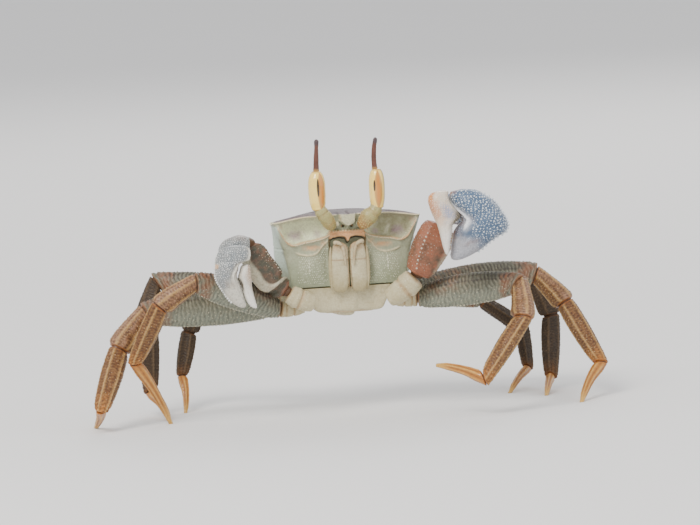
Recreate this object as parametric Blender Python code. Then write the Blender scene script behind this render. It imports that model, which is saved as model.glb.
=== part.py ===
"""Horned ghost crab, life size, standing tall on seven walking legs with the eighth one lifted.

Millimetres throughout; scaled to metres when a mesh is stored. The crab faces -Y, its left side is +X.
"""

import math

import bmesh
import bpy
from mathutils import Matrix, Vector

MM = 0.001
CLEARANCE = 0.2  # gap left between neighbouring shells
SHELL_WIDTH = 38.0  # across the outer orbital corners
MARGIN_Z = 50.3  # height of the side margin of the carapace
SHELL_TOP = 52.97  # height of the back over the floor
SPLIT_Z = 33.5  # carapace and its side walls above, breastplate below
SHELL_PITCH = math.radians(2.5)  # the front is carried a little higher than the rear
BODY_SHIFT = (0.3, 0.0, -0.6)  # where the body sits over the legs
FLOOR_Z = 0.0

# Half plan of the carapace margin, from the middle of the front round to the middle of the rear.
PLAN = [
    (0.0, -12.6), (2.6, -12.5), (4.4, -11.9), (8.0, -11.5), (12.5, -11.7), (16.5, -12.2),
    (18.8, -11.9), (19.0, -9.8), (18.9, -5.0), (18.6, 0.0), (17.8, 5.0), (16.2, 9.6),
    (13.4, 13.2), (9.6, 15.4), (5.0, 16.2), (0.0, 16.4),
]

# Levels of the carapace: height, width factor at the front, at the sides, length factor, shift along Y.
CARAPACE_LEVELS = [
    (SPLIT_Z + 0.15, 0.0, 0.0, 0.0, 0.8), (SPLIT_Z + 0.15, 0.784, 0.805, 0.855, 0.8), (35.6, 0.798, 0.860, 0.865, 0.7),
    (38.4, 0.815, 0.930, 0.872, 0.6), (41.6, 0.850, 0.968, 0.880, 0.6), (43.4, 0.876, 0.970, 0.905, 0.5),
    (45.0, 0.900, 0.970, 0.930, 0.4), (46.4, 0.926, 0.970, 0.950, 0.25), (47.6, 0.952, 0.972, 0.965, 0.1),
    (49.0, 0.980, 0.985, 0.985, 0.0), (MARGIN_Z, 1.0, 1.0, 1.0, 0.0), (50.6, 0.955, 0.955, 0.975, 0.0),
    (50.9, 0.870, 0.870, 0.940, 0.0), (51.3, 0.760, 0.760, 0.885, 0.0), (51.75, 0.640, 0.640, 0.820, 0.0),
    (52.2, 0.530, 0.530, 0.740, 0.0), (52.6, 0.400, 0.400, 0.620, 0.0), (52.85, 0.250, 0.250, 0.420, 0.0),
    (SHELL_TOP, 0.0, 0.0, 0.0, 0.0),
]

# Levels of the breastplate.
THORAX_LEVELS = [
    (26.6, 0.0, 0.0, 0.0, 1.0), (26.6, 0.300, 0.300, 0.600, 1.0), (27.2, 0.440, 0.440, 0.740, 1.0),
    (29.0, 0.500, 0.500, 0.790, 1.0), (31.0, 0.540, 0.540, 0.810, 0.9), (32.6, 0.600, 0.600, 0.825, 0.85),
    (SPLIT_Z - 0.15, 0.660, 0.640, 0.835, 0.8), (SPLIT_Z - 0.15, 0.0, 0.0, 0.0, 0.8),
]

# Height of the front edge of the carapace against the distance from the middle.
CREST = [(0.0, 52.2), (7.5, 52.0), (11.0, 52.0), (15.0, 51.5), (17.25, 51.1), (18.8, 50.9), (40.0, 50.9)]

# Walking legs. Points: hip, knee, wrist, ankle, tip. Sizes: height of each of the four long segments.
LEGS = {
    "leg2_right": ((-18.0, -9.5, 28.4), (-40.4, -18.0, 37.4), (-49.9, -20.0, 32.1), (-56.6, -14.0, 17.4), (-47.4, -4.5, 0.0)),
    "leg3_right": ((-18.5, -1.5, 28.6), (-52.6, -6.0, 29.1), (-60.1, -9.5, 20.6), (-66.2, -16.5, 6.0), (-66.8, -3.0, 0.0)),
    "leg4_right": ((-18.0, 6.5, 29.2), (-46.9, 19.5, 34.2), (-50.2, 14.5, 26.3), (-50.4, 15.0, 6.2), (-47.2, 1.7, 0.0)),
    "leg5_right": ((-14.5, 13.0, 29.6), (-34.2, 24.0, 28.7), (-38.4, 26.0, 20.3), (-41.2, 23.0, 9.1), (-41.5, 16.8, 0.0)),
    "leg2_left": ((18.0, -9.5, 29.0), (42.9, -21.0, 32.1), (42.2, -29.5, 24.2), (30.9, -34.0, 9.7), (19.9, -24.0, 12.9)),
    "leg3_left": ((18.5, -1.5, 29.6), (51.3, 6.0, 31.6), (58.2, 2.0, 24.0), (65.7, -6.0, 8.5), (58.4, -17.0, 0.0)),
    "leg4_left": ((18.0, 6.5, 29.6), (52.4, 19.0, 29.8), (56.8, 18.0, 19.4), (55.5, 14.5, 3.4), (52.2, 2.4, 0.0)),
    "leg5_left": ((14.5, 13.0, 29.6), (39.6, 27.0, 23.4), (50.4, 27.0, 15.4), (51.1, 25.0, 4.9), (44.1, 12.9, 0.0)),
}
MAXILLIPED = [
    ((2.5, -10.9, 32.6), 3.0, 1.2), ((2.45, -11.6, 34.6), 4.1, 1.6), ((2.4, -12.0, 38.8), 4.3, 1.7),
    ((2.3, -12.3, 43.0), 4.0, 1.6), ((2.2, -12.35, 44.8), 2.6, 1.1),
]
EYE_ROWS = {
    "right": (
        [((-4.2, -13.7, 49.6), 3.0, 3.0), ((-4.7, -14.0, 50.4), 3.5, 3.4), ((-5.3, -14.5, 51.6), 3.6, 3.5),
         ((-6.2, -14.8, 52.4), 3.4, 3.2), ((-6.9, -14.9, 53.0), 2.4, 2.4)],
        [(-7.3, 53.3, 1.6), (-7.32, 54.0, 3.2), (-7.36, 56.0, 4.3), (-7.42, 59.0, 4.6), (-7.4, 61.5, 4.3),
         (-7.36, 63.2, 3.2), (-7.35, 64.1, 1.7)],
        [(-7.33, 64.3, 1.5), (-7.2, 67.0, 1.35), (-7.0, 70.0, 1.05), (-6.9, 71.4, 1.2), (-6.88, 72.2, 0.5)],
    ),
    "left": (
        [((4.2, -13.7, 49.6), 3.0, 3.0), ((4.7, -14.0, 50.2), 3.6, 3.4), ((5.6, -14.5, 51.3), 4.2, 3.5),
         ((6.8, -14.8, 52.1), 3.6, 3.2), ((7.6, -14.9, 52.7), 2.4, 2.4)],
        [(8.05, 53.0, 1.6), (8.06, 53.7, 3.1), (8.08, 55.7, 4.0), (8.12, 58.7, 4.25), (8.15, 61.2, 4.0),
         (8.18, 62.9, 3.1), (8.2, 63.8, 1.7)],
        [(7.78, 64.0, 1.4), (7.72, 66.7, 1.3), (7.95, 69.3, 1.2), (8.28, 71.0, 1.1), (8.47, 71.8, 0.6)],
    ),
}
LEG_HEIGHTS = {"leg2": (7.8, 6.0, 5.3, 3.3), "leg3": (9.0, 6.4, 5.3, 3.2), "leg4": (8.0, 6.0, 5.1, 3.1), "leg5": (5.8, 4.8, 4.3, 2.8)}
COXA_X = {"leg2": 11.6, "leg3": 11.8, "leg4": 11.4, "leg5": 9.2}
COXA_Y = {"leg2": -8.6, "leg3": -1.6, "leg4": 5.4, "leg5": 11.6}

# Long profile of each segment: distance along it, height factor, thickness factor.
PROFILES = {
    "base": ((0.0, 0.80, 0.95), (0.35, 0.95, 1.0), (0.75, 0.90, 0.95), (1.0, 0.80, 0.85)),
    "merus": ((0.0, 0.56, 0.80), (0.14, 0.80, 0.95), (0.42, 1.0, 1.0), (0.72, 0.94, 1.0), (0.90, 0.76, 0.95), (1.0, 0.64, 0.85)),
    "carpus": ((0.0, 0.74, 0.80), (0.22, 0.78, 0.95), (0.60, 0.92, 1.0), (0.88, 1.0, 1.0), (1.0, 0.84, 0.9)),
    "propodus": ((0.0, 0.90, 0.92), (0.16, 0.98, 1.0), (0.45, 1.0, 1.0), (0.80, 0.84, 0.9), (1.0, 0.66, 0.8)),
    "dactyl": ((0.0, 0.86, 0.90), (0.12, 0.92, 0.94), (0.40, 0.70, 0.80), (0.75, 0.50, 0.60), (1.0, 0.30, 0.40)),
}
THICKNESS = {"base": 0.78, "merus": 0.46, "carpus": 0.66, "propodus": 0.60, "dactyl": 0.72}

# The hands of both claws as level slices: centre, width across, depth. The fingers point down.
ACROSS = (0.996, -0.117, -0.047)
DOWN = (0.041, -0.095, -0.994)
RIGHT_CARPUS = [
    ((-28.7, -18.5, 49.1), 2.3, 3.0), ((-28.8, -18.5, 48.7), 4.6, 4.8), ((-29.3, -18.5, 47.9), 6.5, 6.0),
    ((-29.8, -18.5, 46.6), 7.8, 6.6), ((-30.0, -18.5, 45.3), 8.0, 6.6), ((-30.0, -18.5, 44.3), 7.5, 6.0),
    ((-29.9, -18.5, 43.5), 6.4, 4.4),
]
RIGHT_PALM = [
    ((-30.8, -24.9, 47.1), 2.5, 1.6), ((-30.7, -24.9, 46.8), 5.1, 3.0), ((-30.8, -24.9, 46.2), 7.2, 4.4),
    ((-30.9, -24.9, 45.2), 8.1, 5.4), ((-31.0, -24.9, 43.9), 8.4, 5.8), ((-31.2, -24.9, 43.0), 8.2, 5.8),
    ((-31.8, -24.9, 42.6), 7.1, 5.9), ((-32.5, -25.0, 41.9), 5.8, 6.0), ((-32.7, -25.0, 40.7), 5.6, 6.0),
    ((-32.9, -25.1, 39.4), 5.2, 5.6), ((-32.6, -25.2, 38.1), 5.0, 5.0), ((-31.9, -25.3, 36.5), 4.7, 4.4),
    ((-31.3, -25.5, 35.0), 4.3, 3.6), ((-30.6, -25.7, 33.4), 3.5, 2.8), ((-29.8, -25.9, 32.0), 2.4, 2.0),
    ((-29.1, -26.0, 31.1), 1.3, 1.2),
]
RIGHT_FINGER = [
    ((-28.0, -24.5, 42.1), 1.6, 2.6), ((-28.0, -24.5, 41.6), 2.3, 3.6), ((-28.1, -24.6, 40.3), 2.9, 4.2),
    ((-28.3, -24.8, 39.1), 3.3, 4.2), ((-28.1, -25.0, 37.8), 3.0, 4.0), ((-27.9, -25.3, 36.3), 2.6, 3.6),
    ((-27.6, -25.6, 34.7), 2.4, 3.0), ((-27.2, -25.9, 33.2), 2.2, 2.4), ((-26.7, -26.2, 31.8), 1.8, 1.6),
    ((-26.1, -26.4, 30.8), 0.8, 0.8),
]
LEFT_PALM = [
    ((28.4, -26.7, 58.0), 2.3, 2.0), ((28.5, -26.8, 57.7), 5.6, 5.5), ((29.1, -26.9, 57.1), 7.4, 7.6),
    ((29.8, -27.0, 55.9), 9.1, 9.4), ((30.8, -27.0, 54.5), 10.3, 10.4), ((32.0, -27.0, 52.9), 10.5, 11.0),
    ((33.0, -27.0, 51.3), 10.3, 11.0), ((33.5, -27.0, 50.1), 10.8, 10.8),
    ((33.3, -27.0, 49.4), 11.8, 10.6), ((33.0, -27.1, 48.7), 12.8, 10.4),
    ((32.6, -27.2, 47.6), 13.6, 10.0), ((32.2, -27.3, 46.2), 13.2, 9.0), ((30.9, -27.5, 45.0), 11.2, 8.0),
    ((29.6, -27.7, 43.6), 9.1, 6.8), ((28.4, -28.0, 42.2), 7.4, 5.4), ((27.1, -28.3, 40.9), 4.9, 3.8),
    ((26.1, -28.5, 40.0), 2.0, 2.0),
]
LEFT_FINGER = [
    ((23.1, -27.9, 58.1), 2.0, 3.0), ((22.6, -28.0, 57.6), 4.3, 5.0), ((22.1, -28.2, 56.5), 5.2, 6.2),
    ((22.3, -28.4, 54.9), 5.6, 6.6), ((23.0, -28.7, 53.4), 6.2, 6.6), ((23.8, -29.0, 51.8), 6.7, 6.2),
    ((24.1, -29.1, 50.9), 6.6, 5.8), ((23.9, -29.3, 50.3), 5.7, 5.4), ((23.6, -29.4, 49.7), 4.7, 5.2),
    ((23.3, -29.5, 48.8), 3.6, 5.0), ((23.3, -29.9, 47.3), 3.1, 4.4), ((23.2, -30.4, 45.3), 2.3, 3.6),
    ((23.2, -30.8, 43.5), 1.6, 2.6), ((23.2, -31.2, 42.3), 0.9, 1.6), ((23.2, -31.3, 41.8), 0.4, 0.8),
]

FINISHES = {
    "shell": ((0.40, 0.40, 0.33), 0.42),
    "underside": ((0.62, 0.60, 0.46), 0.45),
    "limb": ((0.36, 0.34, 0.22), 0.45),
    "limb_outer": ((0.47, 0.29, 0.14), 0.45),
    "dactyl": ((0.80, 0.46, 0.12), 0.40),
    "claw": ((0.34, 0.37, 0.40), 0.42),
    "claw_finger": ((0.80, 0.68, 0.55), 0.38),
    "eye": ((0.82, 0.66, 0.36), 0.12),
    "stylet": ((0.38, 0.22, 0.19), 0.40),
}


def finish(slot):
    """The material of one slot, made once."""
    if slot in bpy.data.materials:
        return bpy.data.materials[slot]
    colour, roughness = FINISHES[slot]
    made = bpy.data.materials.new(slot)
    made.use_nodes = True
    shader = made.node_tree.nodes["Principled BSDF"]
    shader.inputs["Base Color"].default_value = (*colour, 1.0)
    shader.inputs["Roughness"].default_value = roughness
    return made


def closed_skin(name, around, along, place, slot, trim_floor=False):
    """A closed shell: a grid rolled up in u, with both ends in v filled in. `place(u, v_index)` gives a point."""
    mesh = bmesh.new()
    bmesh.ops.create_grid(mesh, x_segments=around, y_segments=along, size=1.0)
    for vertex in mesh.verts:
        u = (vertex.co.x + 1.0) / 2.0
        row = round((vertex.co.y + 1.0) / 2.0 * along)
        vertex.co = Vector(place(u % 1.0 if u < 0.9999 else 0.0, row))
    bmesh.ops.remove_doubles(mesh, verts=mesh.verts, dist=0.002)
    bmesh.ops.holes_fill(mesh, edges=[edge for edge in mesh.edges if edge.is_boundary], sides=0)
    if trim_floor:
        cut = bmesh.ops.bisect_plane(
            mesh, geom=mesh.verts[:] + mesh.edges[:] + mesh.faces[:], plane_co=(0, 0, FLOOR_Z),
            plane_no=(0, 0, -1), clear_outer=True,
        )
        rim = [item for item in cut["geom_cut"] if isinstance(item, bmesh.types.BMEdge)]
        bmesh.ops.edgeloop_fill(mesh, edges=rim)
    bmesh.ops.recalc_face_normals(mesh, faces=mesh.faces)
    bmesh.ops.scale(mesh, vec=(MM, MM, MM), verts=mesh.verts)
    data = bpy.data.meshes.new(name)
    mesh.to_mesh(data)
    mesh.free()
    data.materials.append(finish(slot))
    made = bpy.data.objects.new(name, data)
    bpy.context.scene.collection.objects.link(made)
    return made


def section_point(centre, high, thick, up, side, u, power=2.3):
    """A point on a slightly squared oval, `up` being its tall direction."""
    angle = 2.0 * math.pi * u
    cos, sin = math.cos(angle), math.sin(angle)
    reach = (abs(cos) ** power + abs(sin) ** power) ** (-1.0 / power)
    return centre + up * (cos * reach * high / 2) + side * (sin * reach * thick / 2)


def tube(name, rows, tall, slot, sides=10, start_plane=None, end_plane=None, trim_floor=False, stacked=None):
    """A shell through rows of (centre, height, thickness). A plane normal mitres the end it is given for.

    With `stacked`, every section lies square to that direction however the line of centres bends.
    """
    centres = [Vector(row[0]) for row in rows]
    last = len(rows) - 1

    def place(u, index):
        ahead = centres[min(index + 1, last)] - centres[max(index - 1, 0)]
        along = (Vector(stacked) if stacked else ahead).normalized()
        up = (Vector(tall) - along * along.dot(Vector(tall))).normalized()
        side = along.cross(up)
        point = section_point(centres[index], rows[index][1], rows[index][2], up, side, u)
        for at, plane in ((0, start_plane), (last, end_plane)):
            if plane is not None and index == at:
                axis = (centres[1] - centres[0]) if at == 0 else (centres[last] - centres[last - 1])
                axis = axis.normalized()
                point += axis * ((centres[at] - point).dot(plane) / axis.dot(plane))
        return point

    return closed_skin(name, sides, last, place, slot, trim_floor)


def segment(name, start, end, kind, high, tall, slot, start_plane=None, end_plane=None, bow=0.0, foot=False):
    """One leg segment from joint to joint, held off each joint by half the clearance."""
    start, end = Vector(start), Vector(end)
    along = (end - start).normalized()
    up = (Vector(tall) - along * along.dot(Vector(tall))).normalized()
    first = start + along * (CLEARANCE / 2 / (abs(along.dot(start_plane)) if start_plane else 1.0))
    final = end - along * (CLEARANCE / 2 / (abs(along.dot(end_plane)) if end_plane else 1.0))
    if foot:
        final = end + along * 0.6
    rows = []
    for at, tall_part, thick_part in PROFILES[kind]:
        lift = up * (bow * math.sin(math.pi * at))
        rows.append((first.lerp(final, at) + lift, high * tall_part, high * THICKNESS[kind] * thick_part))
    return tube(name, rows, tall, slot, 10, start_plane, end_plane, trim_floor=foot)


def walking_leg(name, points):
    """Base, merus, carpus, propodus and dactyl of one leg, mitred where they meet."""
    kind = name.split("_")[0]
    out = 1.0 if name.endswith("left") else -1.0
    hip, knee, wrist, ankle, tip = (Vector(point) for point in points)
    root = Vector((out * COXA_X[kind], COXA_Y[kind], hip.z + 0.7))
    path = [root, hip, knee, wrist, ankle, tip]
    bones = [(b - a).normalized() for a, b in zip(path, path[1:])]
    mitres = [(a + b).normalized() for a, b in zip(bones, bones[1:])]
    plane_side = bones[2].cross(bones[1]).normalized()
    heights = LEG_HEIGHTS[kind]
    tall = [bones[0].cross(Vector((0, 1, 0)) * -out)]
    for bone in bones[1:]:
        dorsal = Vector((0, 0, 1)) - bone * bone.z
        level = plane_side.cross(bone)
        if level.z < 0 or level.dot(Vector((out, 0, 0))) < -0.5:
            level = -level
        tall.append(level if abs(bone.z) > 0.35 else dorsal)
    segment(f"{name}_base", root, hip, "base", heights[0] * 0.66, (0, 0, 1), "underside", None, mitres[0])
    segment(f"{name}_merus", hip, knee, "merus", heights[0], tall[1], "limb", mitres[0], mitres[1], bow=0.4)
    segment(f"{name}_carpus", knee, wrist, "carpus", heights[1], tall[2], "limb_outer", mitres[1], mitres[2], bow=0.3)
    segment(f"{name}_propodus", wrist, ankle, "propodus", heights[2], tall[3], "limb_outer", mitres[2], mitres[3])
    lifted = tip.z > 1.0
    segment(f"{name}_dactyl", ankle, tip, "dactyl", heights[3], tall[4], "dactyl", mitres[3], None, bow=0.7,
            foot=not lifted)


def plan_point(u):
    """Even steps along the full plan outline, which is the half plan and its mirror image."""
    loop = [Vector((x, y)) for x, y in PLAN] + [Vector((-x, y)) for x, y in PLAN[-2:0:-1]]
    loop.append(loop[0])
    lengths = [(b - a).length for a, b in zip(loop, loop[1:])]
    wanted = u * sum(lengths)
    for start, end, length in zip(loop, loop[1:], lengths):
        if wanted <= length:
            return start.lerp(end, wanted / length)
        wanted -= length
    return loop[0]


def hump(value, centre, reach):
    """A smooth bump, 1 at the centre and 0 at `reach` from it."""
    away = abs(value - centre) / reach
    return 0.0 if away >= 1.0 else (1.0 - away * away) ** 2


def smooth(low, high, value):
    """A soft step from 0 at `low` to 1 at `high`."""
    part = min(1.0, max(0.0, (value - low) / (high - low)))
    return part * part * (3.0 - 2.0 * part)


def crest_height(x, depth):
    """Height of the shell's edge: level along the sides, arched over the face."""
    for (start, low), (end, high) in zip(CREST, CREST[1:]):
        if abs(x) <= end:
            arch = low + (high - low) * (abs(x) - start) / (end - start)
            return MARGIN_Z + (arch - MARGIN_Z) * smooth(-5.0, -11.5, depth)
    return MARGIN_Z


def raised(z, crest):
    """Stretches the heights round the margin so that the margin follows the crest."""
    if z > MARGIN_Z:
        return crest + (z - MARGIN_Z) / (SHELL_TOP - MARGIN_Z) * (SHELL_TOP - crest)
    return z if z < 47.0 else 47.0 + (z - 47.0) / (MARGIN_Z - 47.0) * (crest - 47.0)


def body_shell(name, levels, slot, front=None, around=56):
    """The carapace or the breastplate as stacked outlines, tipped by the pitch of the body."""

    def place(u, index):
        height, front_wide, side_wide, deep, shift = levels[index]
        flat = plan_point(u)
        wide = side_wide + (front_wide - side_wide) * smooth(-4.0, -10.5, flat.y)
        x, y, z = flat.x * wide, flat.y * deep + shift, height
        if front is not None:
            z = raised(z, crest_height(x, flat.y))
            if flat.y < -9.0 and wide > 0.6:
                y += front(x, height)
        turned_y = y * math.cos(SHELL_PITCH) + (z - 42.0) * math.sin(SHELL_PITCH)
        turned_z = z - y * math.sin(SHELL_PITCH)
        return Vector((x, turned_y, turned_z)) + Vector(BODY_SHIFT)

    return closed_skin(name, around, len(levels) - 1, place, slot)


def face_relief(x, z):
    """The orbits are hollow, the rostrum stands forward between the eye stalks, the cheeks swell by the mouth."""
    orbit = hump(abs(x), 10.6, 7.6) * hump(z, 48.0, 3.6)
    rostrum = hump(x, 0.0, 3.2) * hump(z, 50.6, 2.8)
    cheek = hump(abs(x), 9.6, 5.0) * hump(z, 39.5, 7.5)
    return 3.2 * orbit - 2.8 * rostrum - 1.3 * cheek


def mirrored(point, out):
    return (point[0] * out, point[1], point[2])


def mouth_and_eyes(out, side):
    """Third maxilliped, eye stalk, cornea and horn of one side; the two eyes are held a little differently."""
    tube(f"maxilliped_{side}", [
        (Vector(mirrored(centre, out)) + Vector(BODY_SHIFT), wide, thick) for centre, wide, thick in MAXILLIPED
    ], (1, 0, 0), "underside", 10)
    stalk, cornea, horn = EYE_ROWS[side]
    tube(f"eyestalk_{side}", stalk, (0, 1, 0), "underside", 10, end_plane=Vector((0, 0, 1)))
    tube(f"eye_{side}", [((x, -15.0, z), wide, wide * 0.98) for x, z, wide in cornea], (0, 1, 0), "eye", 12)
    tube(f"stylet_{side}", [((x, -15.0, z), wide, wide) for x, z, wide in horn], (0, 1, 0), "stylet", 8)


def right_cheliped():
    """The smaller claw, folded down in front of the right side."""
    tube("claw_right_base", [((-9.6, -13.6, 29.8), 4.4, 4.0), ((-12.0, -14.3, 30.6), 5.2, 4.6),
                             ((-14.6, -14.6, 31.9), 5.2, 4.6), ((-16.1, -14.6, 33.0), 4.8, 4.2)], (0.5, 0, -0.85), "underside")
    tube("claw_right_merus", [((-16.8, -14.8, 33.6), 4.8, 4.2), ((-18.6, -14.8, 34.9), 6.2, 4.6),
                              ((-20.2, -14.7, 36.3), 7.4, 5.2), ((-21.9, -14.4, 38.5), 8.0, 5.4), ((-23.6, -13.8, 41.3), 7.7, 5.0),
                              ((-24.6, -13.1, 44.1), 6.7, 4.4), ((-25.1, -12.7, 46.1), 4.6, 3.4)], (0.75, 0.0, -0.62), "limb")
    tube("claw_right_carpus", RIGHT_CARPUS, ACROSS, "claw", 12, stacked=DOWN)
    tube("claw_right_palm", RIGHT_PALM, ACROSS, "claw", 12, stacked=DOWN)
    tube("claw_right_finger", RIGHT_FINGER, ACROSS, "claw_finger", stacked=DOWN)


def left_cheliped():
    """The large claw, carried level with the shell corner, fingers pointing down and forward."""
    tube("claw_left_base", [((9.6, -13.6, 29.8), 4.4, 4.0), ((12.0, -14.4, 31.0), 5.6, 5.0), ((15.0, -14.8, 33.2), 6.2, 5.4),
                            ((16.9, -15.2, 35.0), 5.8, 5.0)], (-0.5, 0, -0.85), "underside")
    tube("claw_left_merus", [((17.3, -15.2, 35.7), 6.0, 5.2), ((18.7, -15.6, 38.1), 8.0, 6.0), ((20.9, -16.0, 42.2), 9.4, 6.4),
                             ((23.2, -16.2, 46.2), 9.2, 6.4), ((24.4, -16.2, 48.1), 7.8, 5.6)], (-0.75, 0.0, -0.62), "limb")
    tube("claw_left_carpus", [((25.4, -16.2, 49.4), 5.0, 4.6), ((26.8, -16.4, 50.9), 8.2, 7.4), ((28.6, -16.9, 52.0), 9.0, 8.0),
                              ((30.3, -18.0, 52.6), 8.4, 7.8), ((31.2, -19.6, 52.7), 7.2, 7.0), ((31.4, -21.0, 52.6), 5.6, 5.4)],
         (0, -0.5, 1), "claw", 12)
    tube("claw_left_palm", LEFT_PALM, ACROSS, "claw", 16, stacked=DOWN)
    tube("claw_left_finger", LEFT_FINGER, ACROSS, "claw_finger", 12, stacked=DOWN)


def settle_origin():
    """Moves the whole crab so that the origin is the middle of its footprint box, on the floor."""
    solids = [item for item in bpy.context.scene.objects if item.type == "MESH"]
    corners = [vertex.co for item in solids for vertex in item.data.vertices]
    middle_x = (min(c.x for c in corners) + max(c.x for c in corners)) / 2
    middle_y = (min(c.y for c in corners) + max(c.y for c in corners)) / 2
    for item in solids:
        item.data.transform(Matrix.Translation((-middle_x, -middle_y, 0.0)))


def main():
    for item in list(bpy.data.objects):
        bpy.data.objects.remove(item)
    body_shell("carapace", CARAPACE_LEVELS, "shell", face_relief)
    body_shell("thorax", THORAX_LEVELS, "underside", around=40)
    for out, side in ((-1, "right"), (1, "left")):
        mouth_and_eyes(out, side)
    right_cheliped()
    left_cheliped()
    for name, points in LEGS.items():
        walking_leg(name, points)
    settle_origin()


main()
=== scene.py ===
"""Horned ghost crab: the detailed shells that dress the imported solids, with light, floor and camera.

Lengths are in millimetres in the crab's own build space: shell centred on X, facing -Y, floor at zero. They
are brought to metres and to the part's frame when a piece is stored.
"""

import logging
import math
from dataclasses import dataclass, field
from enum import Enum
from functools import lru_cache
from typing import Callable, Optional, Sequence

import bmesh
import bpy
from mathutils import Matrix, Vector, noise


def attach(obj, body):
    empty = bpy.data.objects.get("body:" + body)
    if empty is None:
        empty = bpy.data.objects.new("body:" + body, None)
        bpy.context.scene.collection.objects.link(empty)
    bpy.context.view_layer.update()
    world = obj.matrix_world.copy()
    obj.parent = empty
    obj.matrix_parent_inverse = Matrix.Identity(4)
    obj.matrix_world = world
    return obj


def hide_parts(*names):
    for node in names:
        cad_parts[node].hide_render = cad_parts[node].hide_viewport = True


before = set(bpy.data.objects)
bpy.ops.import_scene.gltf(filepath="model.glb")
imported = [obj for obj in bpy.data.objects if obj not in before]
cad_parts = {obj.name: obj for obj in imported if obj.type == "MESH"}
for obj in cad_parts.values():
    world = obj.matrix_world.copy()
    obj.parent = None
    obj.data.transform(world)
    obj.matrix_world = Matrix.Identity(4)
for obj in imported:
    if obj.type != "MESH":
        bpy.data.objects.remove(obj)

MM = 0.001
BUILD_TO_FRAME = Vector((0.127, 3.263, 0.0))

# The unwrap: lofts in the lower part, joint skins in a thin strip, and a grid of cells for the beads on top.
BAKE_MAP = "OFBake"
LOFT_STRIP = (0.0, 0.88)
SKIN_STRIP = (0.883, 0.897)
BEAD_STRIP, BEAD_CELLS, BEAD_LINES, DOME_IN_CELL = 0.9, 60, 6, 0.4
RING_MARKS = ("spoke", "row")

Colour = tuple[float, float, float]
log = logging.getLogger("ghost_crab")


class Dye(str, Enum):
    """Painted layers: where each colour of a shell lies, 0 to 1 on every vertex; some of them are painted
    shade, a painted highlight or the painted pseudopupil.
    """

    GRAIN = "grain"
    JOINT = "joint"
    BAND = "band"
    UPPER = "upper"
    LOWER = "lower"
    TIP = "tip"
    RIDGE = "ridge"
    ORBIT = "orbit"
    RIM = "rim"
    LINE = "line"
    MOUTH = "mouth"
    # Near-black: painted shade in the pits and creases of the face, and the dark skin in the joints.
    PIT = "pit"
    BACK = "back"
    MARK = "mark"
    # Pale fold colour in the eye hollows, with a painted highlight along the crease.
    FOLD = "fold"
    # Painted shade: over the eye hollows, on the far side of each cornea, in the claws' gapes and hollows.
    SHADE = "shade"
    VIOLET = "violet"
    STRIPE = "stripe"
    # The painted pseudopupil: the dark spot that the facets show toward the viewer, painted on as a fixed
    # spindle.
    SLIT = "slit"


class Side(Enum):
    """Which side of the crab; the value is the sign of X."""

    RIGHT = -1
    LEFT = 1

    @property
    def word(self) -> str:
        """The name used in node names."""
        return self.name.lower()


def smooth(low: float, high: float, value: float) -> float:
    """A soft step.

    Args:
        low: where the result is 0.
        high: where the result is 1; may lie below `low`.
        value: the number to test.

    Returns:
        A number from 0 to 1.
    """
    part = min(1.0, max(0.0, (value - low) / (high - low)))
    return part * part * (3.0 - 2.0 * part)


def hump(value: float, centre: float, reach: float) -> float:
    """A smooth bump, 1 at `centre` and 0 at `reach` away from it."""
    away = abs(value - centre) / reach
    return 0.0 if away >= 1.0 else (1.0 - away * away) ** 2


def turn_gap(a: float, b: float) -> float:
    """The shorter way round between two positions on a ring, in turns."""
    gap = abs(a - b) % 1.0
    return min(gap, 1.0 - gap)


def curve_through(values: Sequence[float], places: Sequence[float], at: float) -> float:
    """A Catmull-Rom curve through values at rising places.

    Args:
        values: the numbers to pass through.
        places: where each number lies.
        at: the place asked for.

    Returns:
        The interpolated number.
    """
    last = len(places) - 1
    index = 0
    while index < last - 1 and at > places[index + 1]:
        index += 1
    span = places[index + 1] - places[index]
    part = min(1.0, max(0.0, (at - places[index]) / span))
    before = values[index - 1] if index else 2 * values[0] - values[1]
    after = values[index + 2] if index + 2 <= last else 2 * values[last] - values[last - 1]
    room_before = places[index] - places[index - 1] if index else span
    room_after = places[index + 2] - places[index + 1] if index + 2 <= last else span
    start, end = values[index], values[index + 1]
    slope_in = (end - before) / (room_before + span) * span
    slope_out = (after - start) / (room_after + span) * span
    square, cube = part * part, part * part * part
    return (
        start * (2 * cube - 3 * square + 1) + slope_in * (cube - 2 * square + part)
        + end * (3 * square - 2 * cube) + slope_out * (cube - square)
    )


def plateau(value: float, low: float, full: float, fading: float, high: float) -> float:
    """1 from `full` to `fading`, with soft steps down to 0 at `low` and at `high`."""
    return smooth(low, full, value) * smooth(high, fading, value)


def stripe(turn: float, mark: float, reach: float) -> float:
    """A smooth stripe along a shell: 1 on the turn `mark`, 0 from `reach` turns away."""
    return hump(turn_gap(turn, mark), 0.0, reach)


def scatter(seed: float) -> float:
    """A fixed, uneven number from 0 to 1 for a seed."""
    value = math.sin(seed * 12.9898 + 4.1414) * 43758.5453
    return value - math.floor(value)


def uneven(turn_seed: float, at_seed: float, low: float, high: float) -> Callable[[float, float], float]:
    """A rule for dome sizes that vary from `low` to `high` over a shell."""
    return lambda turn, at: low + (high - low) * scatter(turn * turn_seed + at * at_seed)


def thinned(turn_seed: float, at_seed: float, size: float,
            left_out: float) -> Callable[[float, float], float]:
    """A rule for domes of one size of which a share is left out."""
    return lambda turn, at: size if scatter(turn * turn_seed + at * at_seed) > left_out else 0.0


def even_marks(weights: Sequence[float], count: int, closed: bool) -> list[float]:
    """Places along a finely sampled line at equal weighted steps.

    Args:
        weights: the weight of each small step.
        count: how many places.
        closed: whether the line ends where it starts.

    Returns:
        Positions in sample units.
    """
    total = sum(weights)
    wanted = [total * index / (count if closed else count - 1) for index in range(count)]
    marks, run, step = [], 0.0, 0
    for target in wanted:
        while step < len(weights) - 1 and run + weights[step] < target:
            run += weights[step]
            step += 1
        marks.append(step + min(1.0, max(0.0, (target - run) / weights[step])))
    return marks


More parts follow.
